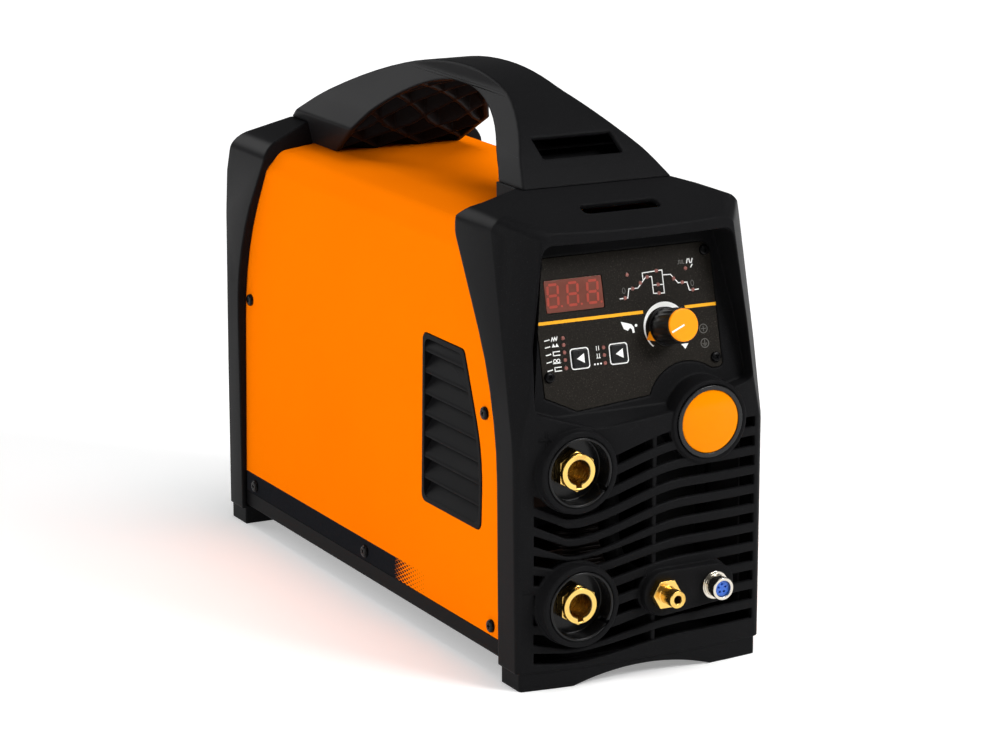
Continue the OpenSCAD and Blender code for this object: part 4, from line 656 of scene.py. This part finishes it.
# Solids shown with broken edges: finish, material slot of the record, width of a broken edge
for node, (finish, slot, width) in {
    "front_bezel": (BLACK_MOULDING, "black_plastic", 0.4),
    "rear_bezel": (BLACK_MOULDING, "black_plastic", 0.4),
    "handle": (BLACK_MOULDING, "black_plastic", 0.9),
    "cover": (ORANGE_COAT, "orange_paint", 0.25),
    "base_tray": (BLACK_PAINT, "black_paint", 0.25),
    "left_vent": (BLACK_LOUVRE, "black_plastic", 0.25),
    "right_vent": (BLACK_LOUVRE, "black_plastic", 0.25),
    "control_panel": (PANEL_FILM, "panel_film", 0.2),
    "display_lens": (WINDOW, "display_window", 0.1),
    "display_module": (MODULE, "display_body", 0.2),
    "control_board": (BOARD, "circuit_board", 0.1),
    "board_spacers": (NICKEL, "nickel", 0.15),
    "indicator_lamps": (LAMPS, "lamp", 0.15),
    "encoder": (ZINC, "encoder_metal", 0.2),
    "encoder_shaft": (ZINC, "encoder_metal", 0.2),
    "knob_body": (KNOB_BLACK, "knob_plastic", 0.25),
    "knob_cap": (ORANGE_CAP, "orange_plastic", 0.25),
    "knob_pointer": (POINTER, "orange_plastic", 0.15),
    "key_left": (KEY_BLACK, "key_plastic", 0.3),
    "key_right": (KEY_BLACK, "key_plastic", 0.3),
    "key_switches": (MODULE, "module_plastic", 0.15),
    "positive_socket_shell": (BLACK_SMOOTH, "black_plastic", 0.5),
    "positive_socket_contact": (BRASS, "brass", 0.4),
    "negative_socket_shell": (BLACK_SMOOTH, "black_plastic", 0.5),
    "negative_socket_contact": (BRASS, "brass", 0.4),
    "socket_nuts": (NICKEL, "nickel", 0.4),
    "gas_outlet": (BRASS, "brass", 0.4),
    "torch_connector_shell": (NICKEL, "nickel", 0.3),
    "torch_connector_insert": (BLUE_INSERT, "blue_plastic", 0.15),
    "badge_ring": (BADGE_RING, "badge_rim", 0.4),
    "badge_dome": (BADGE_FACE, "badge_face", 0.3),
    "fan_frame": (FAN, "fan_plastic", 0.4),
    "fan_rotor": (FAN, "fan_plastic", 0.3),
    "switch_body": (BLACK_SMOOTH, "black_plastic", 0.3),
    "switch_rocker": (BLACK_SMOOTH, "black_plastic", 0.4),
    "cable_gland": (BLACK_LOUVRE, "black_plastic", 0.4),
    "gas_inlet": (BRASS, "brass", 0.25),
    "gas_valve": (VALVE, "valve_metal", 0.5),
    "gas_hose": (HOSE, "hose_rubber", 0.2),
    "heatsink_left": (SINK, "sink_metal", 0.3),
    "heatsink_right": (SINK, "sink_metal", 0.3),
    "power_modules": (MODULE, "module_plastic", 0.5),
    "power_board": (BOARD, "circuit_board", 0.1),
    "power_spacers": (NICKEL, "nickel", 0.2),
    "capacitors": (SLEEVE, "capacitor_sleeve", 1.2),
    "transformer_core": (FERRITE, "ferrite", 0.6),
    "transformer_winding": (WINDING, "copper", 1.0),
    "output_choke": (CHOKE, "copper", 0.6),
    "ignition_unit": (MODULE, "module_plastic", 0.8),
    "positive_bus_bar": (COPPER_BAR_PAINTED_SHADE, "copper", 0.3),
    "negative_bus_bar": (COPPER_BAR_PAINTED_SHADE, "copper", 0.3),
}.items():
    broken_edges(node, finish, slot, width)


def second_finish(piece, finish, test):
    """Gives the faces that pass a test another finish, in edit mode."""
    piece.data.materials.append(finish)
    choose(piece, "FACE", test)
    piece.active_material_index = 1
    bpy.ops.object.material_slot_assign()


# The hexagon of each socket is turned down to the tube, whose bore has gone dull

HEXAGON_FROM, TURNED_DOWN = 9.8, 0.92
BORE_TO, BORE_DEEP, BORE_LEAN = 7.2, 20, 0.2


def turned_contact(contact, axis):
    """Makes the hexagon of a contact smaller and its bore dull."""
    def off_axis(place):
        return Vector((place.x - axis.x, 0, place.z - axis.z))

    def in_bore(face):
        middle = face.calc_center_median()
        out = off_axis(middle)
        inward = face.normal.dot(out) < -BORE_LEAN * MM
        return out.length < BORE_TO * MM and (inward or middle.y > axis.y - BORE_DEEP * MM)

    shape(contact)
    choose(contact, "VERT", lambda v: off_axis(v.co).length > HEXAGON_FROM * MM)
    bpy.ops.transform.resize(value=(TURNED_DOWN, 1, TURNED_DOWN), center_override=axis)
    second_finish(contact, BORE_BRASS, in_bore)
    done()


for node in ("positive_socket_contact", "negative_socket_contact"):
    low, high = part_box(node)
    turned_contact(bpy.data.objects[f"{node}_finished"], (Vector(low) + Vector(high)) / 2)

# The front of the ignition unit has a deep cap, which closes the view through the grille

CAP_FRONT, CAP_DEEPER = 56, 10
CAP_SIDE, CAP_WIDER = 56, 1.2

ignition = bpy.data.objects["ignition_unit_finished"]
shape(ignition)
choose(ignition, "VERT", lambda v: v.co.y < machine(0, CAP_FRONT, 0).y)
bpy.ops.transform.translate(value=(0, -CAP_DEEPER * MM, 0))
choose(ignition, "VERT", lambda v: v.co.x > machine(CAP_SIDE, 0, 0).x)
bpy.ops.transform.translate(value=(CAP_WIDER * MM, 0, 0))
done()

# The sheet is painted dark inside and on its front and rear edges: painted shade of the inside of
# the case and of the gaps at the bezels

CORE_HEIGHT = 0.12  # metres, in the middle of what the sheet encloses


def in_painted_shade(face):
    """Whether a face of the sheet faces into the case, forwards or backwards, and so takes the
    painted shade.
    """
    middle = face.calc_center_median()
    inside = face.normal.dot(middle - Vector((0, middle.y, CORE_HEIGHT))) < 0
    return abs(face.normal.y) > 0.5 or inside


cover = bpy.data.objects["cover_finished"]
shape(cover)
second_finish(cover, PAINTED_INSIDE_SHADE, in_painted_shade)
done()


# Fasteners

def pan_screw(name, shank, length, head, height):
    """Pan head screw with a cross recess, head up, its seat at z = 0. Shank and head are radii."""
    dome, tip = height * 0.62, 0.35
    bit_length, bit_width, bit_height = head * 1.22, 0.30 * head, height * 1.3
    bit_taper = (0.42, 0.7, 1.0)
    near = 0.1  # a point so near the top or the foot is on it

    piece = start("cylinder", name, vertices=32, radius=head * MM, depth=height * MM,
                  location=(0, 0, height * MM / 2))
    top, foot = (height / 2 - near) * MM, (near - length - height / 2) * MM
    shape(piece)
    choose(piece, "EDGE", lambda e: all(v.co.z > top for v in e.verts))
    bpy.ops.mesh.bevel(offset=dome * MM, segments=4, affect="EDGES")
    choose(piece, "FACE", lambda f: f.normal.z < -0.9)
    bpy.ops.mesh.inset(thickness=(head - shank) * MM)
    bpy.ops.mesh.extrude_region_move(TRANSFORM_OT_translate={"value": (0, 0, -length * MM)})
    choose(piece, "EDGE", lambda e: all(v.co.z < foot for v in e.verts))
    bpy.ops.mesh.bevel(offset=tip * MM, segments=1, affect="EDGES")
    done()
    settled(piece)
    for turn in (0, 90):
        bit = start("cube", "cross_bit", size=1, location=(0, 0, height * MM))
        shape(bit)
        bpy.ops.mesh.select_all(action="SELECT")
        bpy.ops.transform.resize(value=(bit_length * MM, bit_width * MM, bit_height * MM))
        choose(bit, "FACE", lambda f: f.normal.z < -0.9)
        bpy.ops.transform.resize(value=bit_taper)
        bpy.ops.mesh.select_all(action="SELECT")
        bpy.ops.transform.rotate(value=math.radians(turn), orient_axis="Z",
                                 center_override=(0, 0, 0))
        done()
        settled(bit)
        worked(piece, "BOOLEAN", operation="DIFFERENCE", solver="EXACT", object=bit)
        bpy.data.objects.remove(bit)
    softened(piece, 35)
    return piece


FIRST_TURN, NEXT_TURN = 12, 37  # degrees


def screw_set(name, node, places, finish, slot, **size):
    """Screws of one solid, all copies of one model, each turned further than the last."""
    model = pan_screw(f"{name}_model", **size)
    copies = []
    for number, place in enumerate(places):
        turn = Matrix.Rotation(math.radians(NEXT_TURN * number + FIRST_TURN), 4, "Z")
        copies.append(copied(model, f"{name}_{number}", place @ turn))
    bpy.data.objects.remove(model)
    hung(joined(copies, name), body_of_node[node], slot, finish, node)


BOTH = (-1, 1)
SIDE_X, SIDE_FOOT = 69.6, 18.5  # half width of the cover at the foot of its sides
SIDE_LEAN = math.atan(2.6 / 199.5)
SIDE_SCREWS = [(33.5, 24), (186, 24), (337.5, 24), (43, 136), (343.5, 136)]
HANDLE_SCREWS = [(30, 65.4, 246.5), (22, 306, 230.3)]
FAN_MIDDLE, FAN_HOLES = 74, 52.5
CASE_HEAD = dict(shank=1.8, head=3.5, height=2.0)
PANEL_HEAD = dict(shank=1.5, head=2.8, height=1.7)

screw_set("cover_screw_heads", "cover_screws", [
    facing((side * (SIDE_X - (z - SIDE_FOOT) * math.tan(SIDE_LEAN)), y, z),
           (side * math.cos(SIDE_LEAN), 0, math.sin(SIDE_LEAN)))
    for side in BOTH for y, z in SIDE_SCREWS
], BLACK_SCREW, "black_screw", length=8, **CASE_HEAD)
screw_set("panel_screw_heads", "panel_screws", [
    on_panel(x, v) for x in (-49.2, 49.2) for v in (28.3, -27.8)
], BLACK_SCREW, "black_screw", length=9.5, **PANEL_HEAD)
screw_set("foot_screw_heads", "foot_screws", [
    facing((side * 50, y, 6.1), (0, 0, -1)) for side in BOTH for y in (12, 360)
], BLACK_SCREW, "black_screw", length=8, **CASE_HEAD)
screw_set("fan_screw_heads", "fan_screws", [
    facing((side * FAN_HOLES, 371.2, FAN_MIDDLE + rise * FAN_HOLES), (0, 1, 0))
    for side in BOTH for rise in BOTH
], BLACK_SCREW, "black_screw", length=20, **CASE_HEAD)
screw_set("handle_screw_heads", "handle_screws", [
    facing((side * x, y, z), (0, 0, -1)) for x, y, z in HANDLE_SCREWS for side in BOTH
], ZINC, "zinc_screw", length=10, **CASE_HEAD)


# Prints on the panel

INK_THICK, INK_SUNK = 0.06, -0.02


class Print:
    """Flat shapes drawn on a face, thickened to a film of ink."""

    def __init__(self, name):
        self.piece = start("plane", name, size=MM)
        shape(self.piece)
        bpy.ops.mesh.select_all(action="SELECT")
        bpy.ops.mesh.delete(type="VERT")

    def fresh(self, x, y):
        """Lets go of what is drawn and goes to a place."""
        bpy.ops.mesh.select_all(action="DESELECT")
        return Vector((x, y, 0)) * MM

    def bar(self, x0, y0, x1, y1, width, chamfer=0.0):
        """A straight stroke: one that runs on by half its width, or one with cut corners."""
        run = Vector((x1 - x0, y1 - y0, 0))
        middle = self.fresh((x0 + x1) / 2, (y0 + y1) / 2)
        bpy.ops.mesh.primitive_plane_add(size=MM, location=middle)
        bpy.ops.transform.resize(value=(run.length + width * (chamfer == 0), width, 1),
                                 center_override=middle)
        bpy.ops.transform.rotate(value=-math.atan2(run.y, run.x), orient_axis="Z",
                                 center_override=middle)
        if chamfer:
            bpy.ops.mesh.bevel(offset=chamfer * MM, segments=1, affect="VERTICES")

    def line(self, points, width):
        """Strokes from point to point."""
        for (x0, y0), (x1, y1) in zip(points, points[1:]):
            self.bar(x0, y0, x1, y1, width)

    def disc(self, x, y, radius, corners, turn=0.0, stretch=(1.0, 1.0)):
        """A disc, or with three corners an arrow head."""
        middle = self.fresh(x, y)
        bpy.ops.mesh.primitive_circle_add(vertices=corners, radius=radius * MM, fill_type="NGON",
                                          location=middle)
        bpy.ops.transform.resize(value=(*stretch, 1), center_override=middle)
        bpy.ops.transform.rotate(value=-math.radians(turn), orient_axis="Z",
                                 center_override=middle)

    def patch(self, points):
        """A patch with its corners at the points."""
        bpy.ops.mesh.primitive_circle_add(vertices=len(points), radius=MM, fill_type="NGON",
                                          location=self.fresh(0, 0))
        mesh = bmesh.from_edit_mesh(self.piece.data)
        for corner, (x, y) in zip([v for v in mesh.verts if v.select], points):
            corner.co = Vector((x, y, 0)) * MM
        bmesh.update_edit_mesh(self.piece.data)

    def ring(self, x, y, radius, width, corners=32, stretch=(1.0, 1.0)):
        """A thin ring, round or drawn out."""
        self.disc(x, y, radius, corners, stretch=stretch)
        bpy.ops.mesh.inset(thickness=width * MM)
        bpy.ops.mesh.delete(type="FACE")

    def frame(self, x, y, side, corner, width):
        """A square outline with round corners."""
        middle = self.fresh(x, y)
        bpy.ops.mesh.primitive_plane_add(size=MM, location=middle)
        bpy.ops.transform.resize(value=(side, side, 1), center_override=middle)
        bpy.ops.mesh.bevel(offset=corner * MM, segments=4, affect="VERTICES")
        near, large = 0.2 * MM, 0.9 * (side * MM) ** 2
        choose(self.piece, "FACE", lambda f: f.calc_area() > large
               and (f.calc_center_median() - middle).length < near)
        bpy.ops.mesh.inset(thickness=width * MM)
        bpy.ops.mesh.delete(type="FACE")

    def crescent(self, x, y, radius, inner, shift, start_angle, end_angle):
        """Scale ring that thins along its length: two circles bridged, then cut at its ends.

        It has to be the first shape of its print.
        """
        middle = self.fresh(x, y)
        bpy.ops.mesh.select_mode(type="EDGE")
        bpy.ops.mesh.primitive_circle_add(vertices=96, radius=radius * MM, location=middle)
        bpy.ops.mesh.primitive_circle_add(vertices=96, radius=inner * MM,
                                          location=middle + Vector((*shift, 0)) * MM)
        bpy.ops.mesh.select_all(action="SELECT")
        bpy.ops.mesh.bridge_edge_loops()

        def beyond_ends(face):
            out = face.calc_center_median() - middle
            return not start_angle < math.degrees(math.atan2(out.y, out.x)) % 360 < end_angle

        choose(self.piece, "FACE", beyond_ends)
        bpy.ops.mesh.delete(type="FACE")

    def inked(self, place, body, slot, finish):
        """Thickens the drawn shapes and sets them on their face."""
        bpy.ops.mesh.select_mode(type="FACE")
        bpy.ops.mesh.select_all(action="SELECT")
        bpy.ops.mesh.normals_make_consistent(inside=False)
        bpy.ops.mesh.extrude_region_move(
            TRANSFORM_OT_translate={"value": (0, 0, INK_THICK * MM)})
        bpy.ops.mesh.select_all(action="SELECT")
        bpy.ops.mesh.normals_make_consistent(inside=False)
        done()
        settled(self.piece, place)
        hung(self.piece, body, slot, finish)


HAIR, LINE = 0.35, 0.5  # widths of strokes that come again

white = Print("panel_print_white")
white.crescent(*KNOB, 12.9, 11.1, (-0.78, -0.78), 42, 228)
# curve of the current over time
white.line([(-3.3, 7.9), (1.3, 7.9), (2.5, 12.5), (7.8, 12.3), (13, 17.4), (16.6, 17.5),
            (16.7, 8.7), (23.1, 8.3), (23.1, 20.3), (11.3, 19.8), (11.4, 16)], LINE)
white.line([(16.7, 13), (23.1, 12.8)], LINE)
white.line([(23.1, 17.7), (27.9, 17.5), (31.9, 12.7), (37.1, 12.6), (38.1, 8.2), (43.5, 8.3)],
           LINE)
# arrow under the knob, and a wave in the corner
white.patch([(29.6, -19.0), (34.0, -19.0), (31.8, -21.7)])
white.line([(38.2, 22.5), (38.8, 24.4), (39.8, 24.4), (40.1, 22.5), (41.0, 22.5), (41.7, 24.3)],
           0.6)
white.line([(41.3, 21.4), (40.4, 20.2)], 0.55)
for key_x, key_v in KEYS.values():
    white.frame(key_x, key_v, side=11.0, corner=1.7, width=0.62)
# marks beside the lamps of the left key
for row, v in enumerate((-8.6, -12.1, -16, -19.8, -24)):
    white.bar(-49.4, v - 0.5, -47.2, v - 0.2, 0.55)
    white.disc(-46.9, v - 0.1, 0.55, 3)
    if row == 0:
        white.line([(-45.6, v - 0.9), (-44.9, v + 0.9), (-44.2, v - 0.9), (-43.5, v + 0.9),
                    (-42.8, v - 0.9), (-42.1, v + 0.9)], LINE)
    elif row == 1:
        for x in (-44.7, -42.7):
            white.disc(x, v, 1.25, 3)
    elif row == 3:
        for x in (-44.8, -42.8):
            white.ring(x, v, 1.05, 0.4, 14)
        white.bar(-45.9, v - 1.2, -41.7, v - 1.2, 0.4)
    else:
        white.line([(-41.6, v + 0.9), (-45.3, v + 0.9), (-45.3, v - 1.0), (-41.6, v - 1.0)],
                   LINE)
# marks beside the lamps of the right key
for v in (-15.9, -19.8):
    for x in (-20.2, -18.9):
        white.bar(x, v - 1.0, x, v + 1.0, HAIR)
white.bar(-20.6, -20.9, -18.5, -20.9, HAIR)
for x in (-22.1, -20.3, -18.5):
    white.disc(x, -23.9, 0.5, 10)
# torch
white.patch([(-4.4, -3.9), (-0.9, -4.9), (1.7, -5.8), (2.9, -7.4), (3.1, -10.2),
             (1.9, -10.3), (1.6, -8.3), (0.6, -7.5), (-0.8, -8.9), (-3.0, -7.8)])
white.disc(4.3, -6.6, 0.75, 12)
white.inked(on_panel(proud=INK_SUNK), "chassis", "panel_film", WHITE_INK)

yellow = Print("panel_print_yellow")
yellow.bar(-52.4, -0.2, 8.4, -0.2, 1.7)
yellow.bar(35.0, -0.2, 52.0, -0.2, 1.7)
yellow.inked(on_panel(proud=INK_SUNK), "chassis", "panel_film", YELLOW_INK)

grey = Print("panel_print_grey")
grey.line([(32.8, 22.4), (33.5, 22.4), (33.5, 24.2), (34.3, 24.2), (34.3, 22.4), (35.1, 22.4),
           (35.1, 24.1), (35.9, 24.1), (35.9, 22.3), (36.6, 22.3)], HAIR)
for x in (-0.6, 40.2):
    grey.ring(x, 11.8, 1.5, 0.3, 12, (0.66, 1.1))
# plus mark and earth mark
for v in (-12.4, -20):
    grey.ring(43.8, v, 2.5, 0.4)
grey.bar(42.5, -12.4, 45.1, -12.4, HAIR)
grey.bar(43.8, -13.7, 43.8, -11.1, HAIR)
grey.bar(43.8, -20.1, 43.8, -18.3, HAIR)
for half, v in ((1.3, -20.2), (0.8, -20.9), (0.3, -21.5)):
    grey.bar(43.8 - half, v, 43.8 + half, v, 0.3)
grey.inked(on_panel(proud=INK_SUNK), "chassis", "panel_film", GREY_INK)

DIGITS_X, DIGITS_V = (-41.7, -30.2, -18.6), 13.3
HALF, RISE, GAP = 2.95, 5.65, 0.55  # of a digit: half its width and height, gap at its corners
STROKE, CUT, SLANT = 1.35, 0.45, 0.065
digits = Print("display_segments")
for x in DIGITS_X:
    for v in (-RISE, 0, RISE):
        lean = SLANT * v
        digits.bar(x - HALF + GAP + lean, DIGITS_V + v, x + HALF - GAP + lean, DIGITS_V + v,
                   STROKE, CUT)
    for side in (-HALF, HALF):
        for low, high in ((-RISE + GAP, -GAP), (GAP, RISE - GAP)):
            digits.bar(x + side + SLANT * low, DIGITS_V + low,
                       x + side + SLANT * high, DIGITS_V + high, STROKE, CUT)
    digits.disc(x + HALF + 1.6, DIGITS_V - RISE, 0.6, 12)
digits.inked(on_panel(proud=-0.22), "chassis", "display_window", SEGMENTS)

KEY_TOP, KNOB_TOP = 1.18, 19.48  # how far the prints on key and knob lie off the panel
for node, (x, v) in KEYS.items():
    mark = Print(f"{node}_arrow")
    mark.disc(0.5, 0, 2.9, 3, turn=90)
    mark.inked(on_panel(x, v, KEY_TOP), body_of_node[node], "key_plastic", WHITE_INK)

dash = Print("knob_line")
dash.bar(-0.2, -0.1, -7.0, -2.9, 0.85)
dash.inked(on_panel(*KNOB, KNOB_TOP), "knob", "orange_plastic", WHITE_INK)


# Floor, light and camera

floor = start("plane", "studio_floor", size=9.0)
shape(floor)
bpy.ops.mesh.select_all(action="SELECT")
bpy.ops.mesh.subdivide(number_cuts=3)
done()
settled(floor)
floor.data.materials.append(studio_floor())


def softbox(name, place, aim, size, power):
    """A white area light at a place in metres, aimed at a height over the floor's middle."""
    light = bpy.data.lights.new(name, "AREA")
    light.shape = "RECTANGLE"
    light.size, light.size_y = size
    light.energy = power
    lamp = bpy.data.objects.new(name, light)
    bpy.context.scene.collection.objects.link(lamp)
    lamp.location = place
    lamp.rotation_euler = (Vector((0, 0, aim)) - Vector(place)).to_track_quat("-Z", "Y").to_euler()


softbox("left_softbox", (-2.3, -0.2, 0.8), aim=0.12, size=(1.5, 1.3), power=24)
softbox("front_softbox", (1.1, -1.8, 1.5), aim=0.12, size=(0.9, 0.7), power=42)
softbox("top_softbox", (0.3, -0.4, 2.2), aim=0.1, size=(1.4, 1.4), power=26)
softbox("right_fill", (1.9, -0.4, 0.9), aim=0.12, size=(1.2, 1.2), power=4)
softbox("rear_fill", (-0.9, 2.2, 1.2), aim=0.12, size=(1.3, 1.3), power=18)

world = bpy.data.worlds.new("studio")
bpy.context.scene.world = world
world.use_nodes = True
background = world.node_tree.nodes["Background"]
background.inputs["Color"].default_value = (1, 1, 1, 1)
background.inputs["Strength"].default_value = 0.1

bpy.context.scene.view_settings.view_transform = "Standard"

AZIMUTH, ELEVATION = math.radians(-27.56), math.radians(13.87)  # of the photo's camera
camera = bpy.data.objects.new("camera", bpy.data.cameras.new("camera"))
bpy.context.scene.collection.objects.link(camera)
camera.data.sensor_width = 36.0
camera.data.lens = 128.2
camera.data.clip_end = 50
camera.location = (-0.88416, -1.72153, 0.59788)
back = Vector((math.sin(AZIMUTH) * math.cos(ELEVATION),
               -math.cos(AZIMUTH) * math.cos(ELEVATION), math.sin(ELEVATION)))
camera.rotation_euler = back.to_track_quat("Z", "Y").to_euler()
bpy.context.scene.camera = camera
